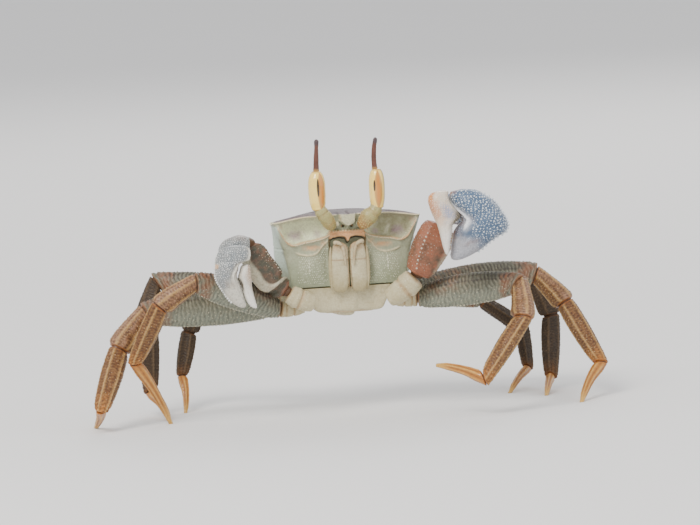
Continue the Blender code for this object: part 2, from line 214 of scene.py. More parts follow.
def picked(samples: Sequence[Sequence[float]], marks: Sequence[float]) -> list[tuple[float, ...]]:
    """The rows of a finely sampled line at positions in sample units."""
    rows = []
    for mark in marks:
        low = int(mark)
        near, far = samples[low], samples[min(low + 1, len(samples) - 1)]
        rows.append(tuple(a + (b - a) * (mark - low) for a, b in zip(near, far)))
    return rows


Paint = Callable[[float, float], dict[Dye, float]]
Relief = Callable[[float, float, float], float]
Station = tuple[Vector, float, float]
Row = tuple[float, float, float, float, float]
RoundRow = tuple[float, float, float, float]


def dome_stamp(sides: int) -> bpy.types.Mesh:
    """The unit dome that granules are stamped from, made once for each number of sides."""
    name = f"dome {sides}"
    if name not in bpy.data.meshes:
        dome = bmesh.new()
        dome.loops.layers.uv.new(BAKE_MAP)
        bmesh.ops.create_uvsphere(dome, u_segments=sides, v_segments=4, radius=1.0)
        for face in dome.faces:
            face.smooth = True
        dome.to_mesh(bpy.data.meshes.new(name))
        dome.free()
    return bpy.data.meshes[name]


@lru_cache
def dome_map(sides: int) -> tuple[tuple[float, float], ...]:
    """Where each corner of the unit dome lies in its cell of the unwrap, seen from above."""
    stamp = dome_stamp(sides)
    corners = (stamp.vertices[loop.vertex_index].co for loop in stamp.loops)
    return tuple((DOME_IN_CELL * corner.x, DOME_IN_CELL * corner.y) for corner in corners)


class ShellMesh:
    """One piece as it grows: a bmesh with its dyes and its unwrap."""

    def __init__(self) -> None:
        """Starts an empty piece."""
        self.mesh = bmesh.new()
        self.mesh.loops.layers.uv.new(BAKE_MAP)
        for mark in RING_MARKS:
            self.mesh.verts.layers.int.new(mark)
        for dye in (Dye.GRAIN, Dye.PIT):
            self.add_dye(dye)
        self.bead_count = 0

    def add_dye(self, dye: Dye) -> None:
        """Adds the vertex layer of a dye where it is missing."""
        if self.mesh.verts.layers.float.get(dye.value) is None:
            self.mesh.verts.layers.float.new(dye.value)

    def loft(self, around: int, rows: int, place: Callable[[int, int], Vector], paint: Paint,
             strip: tuple[float, float] = LOFT_STRIP) -> None:
        """Grows a closed shell by extruding a ring again and again.

        Args:
            around: vertices in the ring.
            rows: how many times the ring is extruded.
            place: gives the position for a spoke and a row.
            paint: gives the dyes for (turn, fraction of the rows).
            strip: the strip of the unwrap this shell takes.
        """
        mesh = self.mesh
        painted = paint(0.0, 0.0)
        for dye in painted:
            self.add_dye(dye)
        unwrap = mesh.loops.layers.uv[BAKE_MAP]
        spoke, row = (mesh.verts.layers.int[mark] for mark in RING_MARKS)
        layers = {dye: mesh.verts.layers.float[dye.value] for dye in painted}
        ring = bmesh.ops.create_circle(mesh, cap_ends=False, radius=1.0, segments=around)["verts"]
        for vertex in ring:
            vertex[spoke] = round(math.atan2(vertex.co.y, vertex.co.x) / (2 * math.pi) * around) % around
        edges = list({edge for vertex in ring for edge in vertex.link_edges})
        first, faces = edges, []
        for index in range(rows + 1):
            if index:
                grown = bmesh.ops.extrude_edge_only(mesh, edges=edges)["geom"]
                ring = [item for item in grown if isinstance(item, bmesh.types.BMVert)]
                faces += [item for item in grown if isinstance(item, bmesh.types.BMFace)]
                fresh = set(ring)
                edges = [item for item in grown if isinstance(item, bmesh.types.BMEdge)
                         and item.verts[0] in fresh and item.verts[1] in fresh]
            for vertex in ring:
                vertex[row] = index
                vertex.co = place(vertex[spoke], index)
                for dye, value in paint(vertex[spoke] / around, index / rows).items():
                    vertex[layers[dye]] = value
        for rim in (first, edges):
            faces += bmesh.ops.edgeloop_fill(mesh, edges=rim)["faces"]
        low, high = strip
        for face in faces:
            face.smooth = True
            spokes = [loop.vert[spoke] for loop in face.loops]
            wraps = max(spokes) - min(spokes) > around / 2 and len(spokes) == 4
            for loop, at in zip(face.loops, spokes):
                column = at + around if wraps and at < around / 2 else at
                loop[unwrap].uv = (column / around, low + (high - low) * loop.vert[row] / rows)

    def bead(self, at: Vector, outward: Vector, radius: float, dyes: dict[Dye, float], rise: float = 0.7,
             stretch: Optional[Vector] = None, sides: int = 8) -> None:
        """Sets one low dome on the shell.

        Args:
            at: the foot of the dome.
            outward: the way it stands.
            radius: its half width.
            dyes: the dyes it carries.
            rise: height over half width.
            stretch: a long direction; its length is how much longer the dome is that way.
            sides: how many sides it has.
        """
        outward = outward.normalized()
        if stretch is not None:
            first, longer = (stretch - outward * stretch.dot(outward)).normalized(), stretch.length
        else:
            first, longer = outward.orthogonal().normalized(), 1.0
        turn = Matrix((first, outward.cross(first), outward)).transposed().to_4x4()
        size = Matrix.Diagonal((radius * longer, radius, radius * rise, 1.0))
        whole = Matrix.Translation(at) @ turn @ size
        stamp = dome_stamp(sides)
        column, line = self.bead_count % BEAD_CELLS, self.bead_count // BEAD_CELLS % BEAD_LINES
        self.bead_count += 1
        for dye in Dye:
            if dye in dyes and self.mesh.verts.layers.float.get(dye.value) is not None:
                layer = stamp.attributes.get(dye.value) or stamp.attributes.new(dye.value, "FLOAT", "POINT")
                layer.data.foreach_set("value", [dyes[dye]] * len(stamp.vertices))
            elif dye.value in stamp.attributes:
                stamp.attributes.remove(stamp.attributes[dye.value])
        stamp.uv_layers[BAKE_MAP].uv.foreach_set("vector", [part for u, v in dome_map(sides) for part in (
            (column + 0.5 + u) / BEAD_CELLS, BEAD_STRIP + (line + 0.5 + v) / BEAD_CELLS)])
        stamp.transform(whole)
        self.mesh.from_mesh(stamp)
        stamp.transform(whole.inverted())

    def store(self, node: str, finish: "Finish", name: str = "") -> None:
        """Brings the piece into the scene.

        Args:
            node: the solid it stands for.
            finish: what it is dressed in.
            name: the piece's name, where it isn't the node's with "dressed" after it.
        """
        mesh, name = self.mesh, name or f"{node}_dressed"
        bmesh.ops.recalc_face_normals(mesh, faces=mesh.faces)
        bmesh.ops.translate(mesh, vec=BUILD_TO_FRAME, verts=mesh.verts)
        bmesh.ops.scale(mesh, vec=(MM, MM, MM), verts=mesh.verts)
        data = bpy.data.meshes.new(name)
        mesh.to_mesh(data)
        mesh.free()
        for mark in RING_MARKS:
            data.attributes.remove(data.attributes[mark])
        data.materials.append(finish.material())
        made = bpy.data.objects.new(name, data)
        bpy.context.scene.collection.objects.link(made)
        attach(made, "root")
        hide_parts(node)
        log.info("%s: %d faces", name, len(data.polygons))


@dataclass
class Section:
    """One cross-section of a tube: its centre, its directions and its two widths."""

    centre: Vector
    along: Vector
    up: Vector
    side: Vector
    tall: float
    thick: float


@dataclass
class Tube:
    """A shell swept through stations of (centre, tall width, thick width).

    Turn 0 is the tall direction, 0.25 the side, 0.5 the underside. With `stacked`, every section lies square
    to that direction however the line of centres bends.
    """

    stations: Sequence[Station]
    tall_axis: Vector
    power: float = 2.3
    start_plane: Optional[Vector] = None
    end_plane: Optional[Vector] = None
    cap_start: float = 0.6
    cap_end: float = 0.6
    relief: Relief = lambda turn, at, run: 0.0
    rough: float = 0.0
    stacked: Optional[Vector] = None
    places: list[float] = field(init=False)
    length: float = field(init=False)

    def __post_init__(self) -> None:
        """Measures the line through the stations."""
        centres = [station[0] for station in self.stations]
        run = [0.0]
        for start, end in zip(centres, centres[1:]):
            run.append(run[-1] + (end - start).length)
        self.length = run[-1]
        self.places = [value / self.length for value in run]

    def centre(self, at: float) -> Vector:
        """The middle of the tube at a fraction of its length."""
        return Vector([curve_through([station[0][axis] for station in self.stations], self.places, at)
                       for axis in range(3)])

    def section(self, at: float) -> Section:
        """The cross-section at a fraction of the length."""
        middle = self.centre(at)
        ahead = self.centre(min(1.0, at + 0.02)) - self.centre(max(0.0, at - 0.02))
        along = (self.stacked or ahead).normalized()
        up = (self.tall_axis - along * along.dot(self.tall_axis)).normalized()
        tall, thick = (curve_through([s[part] for s in self.stations], self.places, at) for part in (1, 2))
        return Section(middle, along, up, along.cross(up), tall, thick)

    def narrowing(self, at: float) -> float:
        """How far the rounded ends draw the section in, 1 where they do not."""
        left = 1.0
        for away, cap in ((at * self.length, self.cap_start), ((1.0 - at) * self.length, self.cap_end)):
            if away < cap:
                depth = 1.0 - away / cap
                left = min(left, 0.12 + 0.88 * math.sqrt(max(0.0, 1.0 - depth * depth)))
        return left

    def surface(self, section: Section, turn: float, at: float) -> Vector:
        """A point of the shell.

        Args:
            section: the cross-section it lies in.
            turn: the way round, in turns.
            at: fraction of the length.

        Returns:
            The position in build space.
        """
        angle = 2.0 * math.pi * turn
        cos, sin = math.cos(angle), math.sin(angle)
        reach = (abs(cos) ** self.power + abs(sin) ** self.power) ** (-1.0 / self.power)
        draw = self.narrowing(at)
        extra = self.relief(turn, at, at * self.length) * draw
        up = cos * reach * section.tall / 2 * draw + cos * extra
        side = sin * reach * section.thick / 2 * draw + sin * extra
        point = section.centre + section.up * up + section.side * side
        if self.rough:
            lump = noise.noise(point * 1.7) * 0.6 + noise.noise(point * 4.1) * 0.4
            point += (section.up * cos + section.side * sin) * (lump * self.rough * draw)
        return self.on_planes(section, point, at)

    def on_planes(self, section: Section, point: Vector, at: float) -> Vector:
        """Slides a point near an end along the tube, so that the end lies on its joint plane.

        Args:
            section: the cross-section the point lies in.
            point: its position.
            at: fraction of the length.

        Returns:
            The position it slides to.
        """
        for plane, away in ((self.start_plane, at * self.length), (self.end_plane, (1.0 - at) * self.length)):
            hold = smooth(section.tall * 0.9 + 0.5, 0.0, away) if plane is not None else 0.0
            if hold > 0.0:
                slide = -(point - section.centre).dot(plane) / section.along.dot(plane)
                point = point + section.along * (slide * hold)
        return point

    def grow(self, shell: ShellMesh, around: int, rows: int, paint: Paint,
             strip: tuple[float, float] = LOFT_STRIP) -> None:
        """Adds the tube to a piece.

        Args:
            shell: the piece it joins.
            around: vertices round it.
            rows: rings along it.
            paint: the dyes for (turn, fraction along).
            strip: its strip of the unwrap.
        """
        parts = [index / rows for index in range(rows + 1)]
        marks = [part - 0.09 * math.sin(2 * math.pi * part) / math.pi for part in parts]
        sections = [self.section(at) for at in marks]
        shell.loft(around, rows, lambda spoke, row: self.surface(sections[row], spoke / around, marks[row]),
                   lambda turn, part: paint(turn, marks[round(part * rows)]), strip)

    def spot(self, turn: float, at: float) -> tuple[Vector, Vector]:
        """A point of the shell and the way out of it there."""
        section = self.section(at)
        here = self.surface(section, turn, at)
        ahead, behind = min(1.0, at + 0.01), max(0.0, at - 0.01)
        round_step = self.surface(section, turn + 0.01, at) - self.surface(section, turn - 0.01, at)
        long_step = (self.surface(self.section(ahead), turn, ahead)
                     - self.surface(self.section(behind), turn, behind))
        outward = round_step.cross(long_step)
        if outward.dot(here - section.centre) < 0:
            outward = -outward
        return here, outward.normalized()


def stations_of(rows: Sequence[Row | RoundRow], shift: Vector = Vector(), mirror: float = 1.0,
                flat: float = 1.0) -> list[Station]:
    """Rows of (x, y, z, tall, thick), or of (x, y, z, width) where round, as stations of a tube."""
    return [(Vector((x * mirror, y, z)) + shift, wide[0], wide[-1] * flat) for x, y, z, *wide in rows]


NODE_GAP = 190.0


class Nodes:
    """A small helper that adds and wires shader nodes in one tree."""

    def __init__(self, tree: bpy.types.NodeTree) -> None:
        """Works in the tree it is given."""
        self.tree = tree

    def add(self, kind: str, **settings: object) -> bpy.types.Node:
        """Adds a node.

        Args:
            kind: Blender's type name.
            **settings: its properties.

        Returns:
            The node.
        """
        node = self.tree.nodes.new(kind)
        node.location = (len(self.tree.nodes) * NODE_GAP, 0.0)
        for name, value in settings.items():
            setattr(node, name, value)
        return node

    def wire(self, source: bpy.types.NodeSocket, node: bpy.types.Node, socket: object) -> None:
        """Links an output to an input of a node."""
        self.tree.links.new(source, node.inputs[socket])

    def math(self, operation: str, first: object, second: object,
             clamp: bool = False) -> bpy.types.NodeSocket:
        """A Math node on sockets or numbers, and its result."""
        node = self.add("ShaderNodeMath", operation=operation, use_clamp=clamp)
        for index, value in enumerate((first, second)):
            if isinstance(value, bpy.types.NodeSocket):
                self.tree.links.new(value, node.inputs[index])
            else:
                node.inputs[index].default_value = value
        return node.outputs[0]

    def blend(self, mask: bpy.types.NodeSocket, under: object, over: object) -> bpy.types.NodeSocket:
        """Mixes two colours by a mask; a colour is a socket or three numbers."""
        node = self.add("ShaderNodeMix", data_type="RGBA", clamp_factor=True)
        self.tree.links.new(mask, node.inputs[0])
        for index, value in ((6, under), (7, over)):
            if isinstance(value, bpy.types.NodeSocket):
                self.tree.links.new(value, node.inputs[index])
            else:
                node.inputs[index].default_value = (*value, 1.0)
        return node.outputs[2]


class Effect(Enum):
    """Effects that several finishes share, each one a node group."""

    PATCHES = "Shell patches"
    WORN_MASK = "Broken edge mask"
    FINE_SCALES = "Fine scales"


def effect_group(effect: Effect) -> bpy.types.NodeTree:
    """The node group of a shared effect, built once.

    Args:
        effect: which one.

    Returns:
        The group.
    """
    if effect.value in bpy.data.node_groups:
        return bpy.data.node_groups[effect.value]
    group = bpy.data.node_groups.new(effect.value, "ShaderNodeTree")
    build = {Effect.PATCHES: patches_group, Effect.WORN_MASK: mask_group,
             Effect.FINE_SCALES: scales_group}[effect]
    build(group)
    return group


def group_socket(group: bpy.types.NodeTree, name: str, way: str, value: float = 0.0) -> None:
    """Adds a float socket to a group's interface, `way` being INPUT or OUTPUT."""
    socket = group.interface.new_socket(name=name, in_out=way, socket_type="NodeSocketFloat")
    if way == "INPUT":
        socket.default_value = value


def patches_group(group: bpy.types.NodeTree) -> None:
    """Soft irregular patches: two sizes of noise, sharpened by Contrast."""
    group_socket(group, "Scale", "INPUT", 300.0)
    group_socket(group, "Contrast", "INPUT", 1.5)
    group_socket(group, "Patches", "OUTPUT")
    nodes = Nodes(group)
    ends = nodes.add("NodeGroupInput")
    place = nodes.add("ShaderNodeTexCoord")
    broad = nodes.add("ShaderNodeTexNoise")
    broad.inputs["Detail"].default_value = 5.0
    broad.inputs["Roughness"].default_value = 0.62
    nodes.wire(place.outputs["Object"], broad, "Vector")
    nodes.wire(ends.outputs["Scale"], broad, "Scale")
    centred = nodes.math("SUBTRACT", broad.outputs["Fac"], 0.5)
    spread = nodes.math("MULTIPLY", centred, ends.outputs["Contrast"])
    out = nodes.add("NodeGroupOutput")
    nodes.wire(nodes.math("ADD", spread, 0.5, clamp=True), out, "Patches")


def mask_group(group: bpy.types.NodeTree) -> None:
    """A painted mask whose edge is broken up by noise."""
    group_socket(group, "Mask", "INPUT", 0.0)
    group_socket(group, "Breakup", "INPUT", 0.4)
    group_socket(group, "Scale", "INPUT", 900.0)
    group_socket(group, "Mask", "OUTPUT")
    nodes = Nodes(group)
    ends = nodes.add("NodeGroupInput")
    place = nodes.add("ShaderNodeTexCoord")
    grain = nodes.add("ShaderNodeTexNoise")
    grain.inputs["Detail"].default_value = 4.0
    nodes.wire(place.outputs["Object"], grain, "Vector")
    nodes.wire(ends.outputs["Scale"], grain, "Scale")
    centred = nodes.math("SUBTRACT", grain.outputs["Fac"], 0.5)
    swing = nodes.math("MULTIPLY", centred, ends.outputs["Breakup"])
    doubled = nodes.math("MULTIPLY", swing, 2.5)
    guard = nodes.math("MULTIPLY", ends.outputs["Mask"], nodes.math("SUBTRACT", 1.0, ends.outputs["Mask"]))
    eaten = nodes.math("MULTIPLY", doubled, nodes.math("ADD", nodes.math("MULTIPLY", guard, 3.0), 0.25))
    kept = nodes.math("MULTIPLY", eaten, nodes.math("GREATER_THAN", ends.outputs["Mask"], 0.004))
    out = nodes.add("NodeGroupOutput")
    nodes.wire(nodes.math("ADD", ends.outputs["Mask"], kept, clamp=True), out, "Mask")


def scales_group(group: bpy.types.NodeTree) -> None:
    """Close-set grains like fine scales: a height, and a mask of the valleys between them for painted shade.
    """
    group_socket(group, "Scale", "INPUT", 2200.0)
    group_socket(group, "Height", "OUTPUT")
    group_socket(group, "Valley", "OUTPUT")
    nodes = Nodes(group)
    ends = nodes.add("NodeGroupInput")
    place = nodes.add("ShaderNodeTexCoord")
    cells = nodes.add("ShaderNodeTexVoronoi", feature="F1")
    nodes.wire(place.outputs["Object"], cells, "Vector")
    nodes.wire(ends.outputs["Scale"], cells, "Scale")
    grit = nodes.add("ShaderNodeTexNoise")
    grit.inputs["Detail"].default_value = 3.0
    nodes.wire(place.outputs["Object"], grit, "Vector")
    nodes.wire(nodes.math("MULTIPLY", ends.outputs["Scale"], 0.7), grit, "Scale")
    distance = cells.outputs["Distance"]
    dome = nodes.math("SUBTRACT", 1.0, distance, clamp=True)
    out = nodes.add("NodeGroupOutput")
    nodes.wire(nodes.math("ADD", dome, nodes.math("MULTIPLY", grit.outputs["Fac"], 0.5)), out, "Height")
    nodes.wire(nodes.math("MULTIPLY", distance, distance, clamp=True), out, "Valley")


GRAIN_HEIGHT, VARNISH_ROUGHNESS = 0.00012, 0.12


@dataclass(frozen=True)
class Coat:
    """One colour laid where a dye is strong."""

    dye: Dye
    colour: Colour
    amount: float = 1.0
    breakup: float = 0.4
    scale: float = 900.0


@dataclass(frozen=True)
class Finish:
    """A shell's whole finish: its ground, its patches, the coats over them, and its grain."""

    name: str
    slot: str
    ground: Colour
    patch: Colour
    coats: tuple[Coat, ...] = ()
    patch_scale: float = 260.0
    patch_contrast: float = 2.0
    # Painted shade in the valleys between the fine scales: its colour and how strong it is.
    valley: Colour = (0.2, 0.17, 0.12)
    valley_amount: float = 0.3
    scales: float = 2200.0
    depth: float = 0.35
    roughness: float = 0.45
    roughness_swing: float = 0.15
    varnish: float = 0.0
    gloss: float = 0.32

    def material(self) -> bpy.types.Material:
        """The material of this finish, built once."""
        if self.name in bpy.data.materials:
            return bpy.data.materials[self.name]
        made = bpy.data.materials.new(self.name)
        made.use_nodes = True
        nodes = Nodes(made.node_tree)
        shader = made.node_tree.nodes["Principled BSDF"]
        patches = self.effect(nodes, Effect.PATCHES, Scale=self.patch_scale, Contrast=self.patch_contrast)
        grain = self.effect(nodes, Effect.FINE_SCALES, Scale=self.scales)
        colour = nodes.blend(patches.outputs["Patches"], self.ground, self.patch)
        for coat in self.coats:
            colour = self.lay(nodes, colour, coat)
        # Painted shade in the valleys between the fine scales.
        valleys = nodes.math("MULTIPLY", grain.outputs["Valley"], self.valley_amount)
        colour = nodes.blend(valleys, colour, self.valley)
        nodes.wire(colour, shader, "Base Color")
        centred = nodes.math("SUBTRACT", patches.outputs["Patches"], 0.5)
        swing = nodes.math("MULTIPLY", centred, self.roughness_swing)
        nodes.wire(nodes.math("ADD", swing, self.roughness, clamp=True), shader, "Roughness")
        bump = nodes.add("ShaderNodeBump")
        bump.inputs["Strength"].default_value = self.depth
        bump.inputs["Distance"].default_value = GRAIN_HEIGHT
        nodes.wire(grain.outputs["Height"], bump, "Height")
        nodes.wire(bump.outputs["Normal"], shader, "Normal")
        shader.inputs["Specular IOR Level"].default_value = self.gloss
        shader.inputs["Coat Weight"].default_value = self.varnish
        shader.inputs["Coat Roughness"].default_value = VARNISH_ROUGHNESS
        return made

    @staticmethod
    def effect(nodes: Nodes, effect: Effect, **values: float) -> bpy.types.Node:
        """Places a shared effect in a material with its own values."""
        node = nodes.add("ShaderNodeGroup", node_tree=effect_group(effect))
        for name, value in values.items():
            node.inputs[name].default_value = value
        return node

    def lay(self, nodes: Nodes, under: bpy.types.NodeSocket, coat: Coat) -> bpy.types.NodeSocket:
        """Lays one coat over the colour so far."""
        source = nodes.add("ShaderNodeAttribute", attribute_name=coat.dye.value)
        mask = self.effect(nodes, Effect.WORN_MASK, Breakup=coat.breakup, Scale=coat.scale)
        nodes.wire(source.outputs["Fac"], mask, "Mask")
        return nodes.blend(nodes.math("MULTIPLY", mask.outputs["Mask"], coat.amount), under, coat.colour)


def granules(colour: Colour, amount: float = 0.85) -> Coat:
    """The paint of the granules, nearly crisp at its edge."""
    return Coat(Dye.GRAIN, colour, amount, 0.2, 1500.0)


JOINT_SKIN = Coat(Dye.PIT, (0.10, 0.045, 0.02), 0.95, 0.2, 1500.0)
BACK_SHELL = Finish(
    "Back shell", "shell", ground=(0.315, 0.335, 0.225), patch=(0.425, 0.435, 0.305),
    patch_scale=330.0, patch_contrast=2.2,
    coats=(
        Coat(Dye.UPPER, (0.58, 0.69, 0.60), 0.9, 0.35, 420.0),
        Coat(Dye.LOWER, (0.285, 0.325, 0.205), 0.55, 0.5, 500.0),
        Coat(Dye.ORBIT, (0.80, 0.84, 0.57), 0.88, 0.3, 500.0),
        # Painted shade over the eye hollows, heaviest over the left one.
        Coat(Dye.SHADE, (0.21, 0.18, 0.10), 0.8, 0.6, 500.0),
        # Pale folds of the eye hollows, with a painted highlight along their crease.
        Coat(Dye.FOLD, (0.86, 0.84, 0.66), 0.7, 0.5, 700.0),
        Coat(Dye.VIOLET, (0.40, 0.27, 0.33), 0.75, 0.7, 700.0),
        Coat(Dye.BAND, (0.62, 0.34, 0.26), 0.6, 0.9, 420.0),
        Coat(Dye.BACK, (0.105, 0.074, 0.092), 0.95, 0.3, 500.0),
        Coat(Dye.MARK, (0.045, 0.026, 0.028), 0.8, 0.7, 650.0),
        # Dark lines: along the margin, and painted shade at the top of the eye hollows under the brow.
        Coat(Dye.LINE, (0.24, 0.14, 0.16), 0.8, 0.5, 1500.0),
        Coat(Dye.RIM, (0.80, 0.68, 0.42), 0.9, 0.5, 1500.0),
        Coat(Dye.MOUTH, (0.82, 0.40, 0.17), 0.85, 0.5, 1300.0),
        # Painted shade in the pits of the face and on the antennule; the dark skin where joints show.
        Coat(Dye.PIT, (0.030, 0.018, 0.012), 0.95, 0.2, 1500.0),
        granules((0.86, 0.85, 0.66)),
    ),
    valley=(0.17, 0.15, 0.09), valley_amount=0.34, scales=2100.0, depth=0.45, roughness=0.52,
    varnish=0.03, gloss=0.16,
)
BREAST_SHELL = Finish(
    "Breast shell", "underside", ground=(0.50, 0.44, 0.27), patch=(0.62, 0.57, 0.38), patch_scale=260.0,
    coats=(
        Coat(Dye.JOINT, (0.42, 0.22, 0.10), 0.7, 0.6, 900.0),
        Coat(Dye.MOUTH, (0.40, 0.21, 0.09), 0.8, 0.6, 1100.0),
        Coat(Dye.LOWER, (0.32, 0.25, 0.10), 0.6, 0.6, 700.0),
        Coat(Dye.PIT, (0.06, 0.035, 0.02), 0.8, 0.3, 1500.0),
        granules((0.74, 0.69, 0.50), 0.8),
    ),
    valley=(0.24, 0.17, 0.08), valley_amount=0.34, scales=2100.0, depth=0.40, roughness=0.50,
    varnish=0.04, gloss=0.25,
)
STALK_SHELL = Finish(
    "Eye stalk shell", "underside", ground=(0.31, 0.28, 0.10), patch=(0.42, 0.37, 0.155), patch_scale=600.0,
    coats=(
        Coat(Dye.RIM, (0.50, 0.45, 0.22), 0.7, 0.3, 900.0),
        Coat(Dye.JOINT, (0.36, 0.16, 0.05), 0.8, 0.8, 1100.0),
        Coat(Dye.GRAIN, (0.60, 0.44, 0.16), 0.8, 0.3, 1500.0),
    ),
    valley=(0.18, 0.12, 0.04), valley_amount=0.4, scales=2600.0, depth=0.35, roughness=0.38, varnish=0.15,
)
EYE_GLASS = Finish(
    "Eye surface", "eye", ground=(1.0, 0.66, 0.12), patch=(1.0, 0.77, 0.22),
    patch_scale=500.0, patch_contrast=1.0,
    coats=(
        # Painted shade in olive on the far side of the cornea.
        Coat(Dye.SHADE, (0.30, 0.24, 0.08), 0.85, 0.1, 900.0),
        Coat(Dye.STRIPE, (0.50, 0.22, 0.045), 0.9, 0.12, 900.0),
        Coat(Dye.BAND, (0.62, 0.20, 0.015), 0.75, 0.1, 900.0),
        Coat(Dye.JOINT, (0.36, 0.17, 0.05), 0.8, 0.3, 900.0),
        # The painted pseudopupil, a dark spot of the facets painted as a fixed spindle.
        Coat(Dye.SLIT, (0.012, 0.004, 0.002), 1.0, 0.05, 900.0),
    ),
    valley=(0.60, 0.38, 0.10), valley_amount=0.12, scales=5200.0, depth=0.08, roughness=0.20,
    roughness_swing=0.04,
    varnish=0.9,
)
HORN = Finish(
    "Eye horn", "stylet", ground=(0.092, 0.030, 0.017), patch=(0.145, 0.052, 0.033), patch_scale=700.0,
    coats=(
        Coat(Dye.TIP, (0.065, 0.045, 0.05), 0.9, 0.2, 900.0),
        Coat(Dye.JOINT, (0.50, 0.28, 0.07), 0.7, 0.3, 900.0),
    ),
    valley=(0.07, 0.03, 0.02), valley_amount=0.3, scales=3600.0, depth=0.25, roughness=0.36, varnish=0.3,
)
ARM_SHELL = Finish(
    "Claw arm shell", "limb", ground=(0.044, 0.044, 0.029), patch=(0.082, 0.078, 0.052), patch_scale=380.0,
    coats=(
        Coat(Dye.LOWER, (0.62, 0.58, 0.42), 0.85, 0.5, 500.0),
        Coat(Dye.BAND, (0.36, 0.125, 0.065), 0.85, 0.8, 650.0),
        Coat(Dye.RIDGE, (0.34, 0.25, 0.16), 0.6, 0.7, 1200.0),
        Coat(Dye.JOINT, (0.30, 0.10, 0.05), 0.85, 0.7, 800.0),
        granules((0.74, 0.64, 0.50), 0.9),
        JOINT_SKIN,
    ),
    valley=(0.035, 0.025, 0.015), valley_amount=0.4, scales=2400.0, depth=0.5, roughness=0.44, varnish=0.06,
)
LEG_UPPER = Finish(
    "Leg upper shell", "limb", ground=(0.096, 0.097, 0.070), patch=(0.178, 0.175, 0.122), patch_scale=360.0,
    patch_contrast=2.4,
    coats=(
        Coat(Dye.LOWER, (0.26, 0.30, 0.235), 0.65, 0.6, 700.0),
        Coat(Dye.MARK, (0.25, 0.085, 0.035), 0.9, 1.0, 520.0),
        Coat(Dye.BAND, (0.040, 0.030, 0.024), 0.85, 0.6, 700.0),
        Coat(Dye.RIDGE, (0.46, 0.41, 0.28), 0.55, 0.7, 1200.0),
        Coat(Dye.JOINT, (0.36, 0.14, 0.055), 0.8, 0.8, 800.0),
        granules((0.72, 0.66, 0.48)),
        JOINT_SKIN,
    ),
    valley=(0.055, 0.045, 0.025), valley_amount=0.5, scales=2300.0, depth=0.6, roughness=0.46, varnish=0.05,
)
LEG_OUTER = Finish(
    "Leg outer shell", "limb_outer", ground=(0.118, 0.042, 0.012), patch=(0.215, 0.090, 0.030),
    patch_scale=420.0, patch_contrast=2.6,
    coats=(
        Coat(Dye.LOWER, (0.15, 0.090, 0.040), 0.5, 0.6, 700.0),
        Coat(Dye.UPPER, (0.44, 0.25, 0.16), 0.75, 0.9, 600.0),
        Coat(Dye.TIP, (0.48, 0.175, 0.028), 0.9, 0.6, 600.0),
        Coat(Dye.BAND, (0.050, 0.020, 0.010), 0.75, 0.9, 900.0),
        Coat(Dye.RIDGE, (0.52, 0.31, 0.10), 0.8, 0.6, 1300.0),
        Coat(Dye.JOINT, (0.44, 0.155, 0.04), 0.75, 0.8, 800.0),
        granules((0.66, 0.46, 0.24)),
        JOINT_SKIN,
    ),
    valley=(0.050, 0.022, 0.010), valley_amount=0.5, scales=2300.0, depth=0.6, roughness=0.42, varnish=0.08,
)
# The rear legs: a darker brown than the front legs, and darker again with painted shade, as a shaded copy of
# their shell.
LEG_OUTER_REAR_DARK_AND_SHADED = Finish(
    "Rear leg outer shell", "limb_outer", ground=(0.030, 0.019, 0.012), patch=(0.062, 0.040, 0.023),
    patch_scale=420.0, patch_contrast=2.4,
    coats=(
        Coat(Dye.LOWER, (0.070, 0.046, 0.028), 0.5, 0.6, 700.0),
        Coat(Dye.TIP, (0.20, 0.085, 0.028), 0.8, 0.6, 600.0),
        Coat(Dye.BAND, (0.030, 0.020, 0.014), 0.7, 0.8, 700.0),
        Coat(Dye.RIDGE, (0.15, 0.095, 0.050), 0.6, 0.6, 1300.0),
        Coat(Dye.JOINT, (0.24, 0.095, 0.035), 0.75, 0.7, 800.0),
        granules((0.19, 0.13, 0.08), 0.8),
        Coat(Dye.PIT, (0.05, 0.025, 0.012), 0.95, 0.2, 1500.0),
    ),
    valley=(0.022, 0.014, 0.008), valley_amount=0.45, scales=2300.0, depth=0.5, roughness=0.48,
    varnish=0.03, gloss=0.2,
)
DACTYL_SHELL = Finish(
    "Foot claw shell", "dactyl", ground=(0.40, 0.145, 0.022), patch=(0.54, 0.235, 0.045), patch_scale=500.0,
    coats=(
        Coat(Dye.RIDGE, (0.74, 0.46, 0.12), 0.75, 0.5, 1300.0),
        Coat(Dye.BAND, (0.17, 0.058, 0.014), 0.75, 0.5, 1300.0),
        Coat(Dye.TIP, (0.66, 0.40, 0.10), 0.85, 0.3, 700.0),
        Coat(Dye.JOINT, (0.40, 0.13, 0.028), 0.8, 0.5, 900.0),
        granules((0.62, 0.36, 0.11), 0.8),
        JOINT_SKIN,
    ),
    valley=(0.14, 0.05, 0.012), valley_amount=0.3, scales=2800.0, depth=0.35, roughness=0.34, varnish=0.25,
)
BLUE_CLAW = Finish(
    "Large claw shell", "claw", ground=(0.056, 0.098, 0.165), patch=(0.115, 0.180, 0.285), patch_scale=420.0,
    coats=(
        Coat(Dye.LOWER, (0.34, 0.34, 0.34), 0.6, 0.5, 600.0),
        Coat(Dye.TIP, (0.42, 0.415, 0.44), 0.9, 0.45, 600.0),
        # Painted shade in the gape and low on the outer face.
        Coat(Dye.SHADE, (0.22, 0.13, 0.10), 0.75, 0.6, 700.0),
        Coat(Dye.BAND, (0.46, 0.25, 0.17), 0.6, 0.8, 600.0),
        Coat(Dye.RIM, (0.86, 0.87, 0.90), 0.95, 0.3, 1000.0),
        Coat(Dye.JOINT, (0.46, 0.19, 0.08), 0.8, 0.6, 800.0),
        Coat(Dye.GRAIN, (0.78, 0.82, 0.86), 0.95, 0.35, 900.0),
        JOINT_SKIN,
    ),
    valley=(0.045, 0.065, 0.10), valley_amount=0.45, scales=2400.0, depth=0.45, roughness=0.38, varnish=0.14,
)
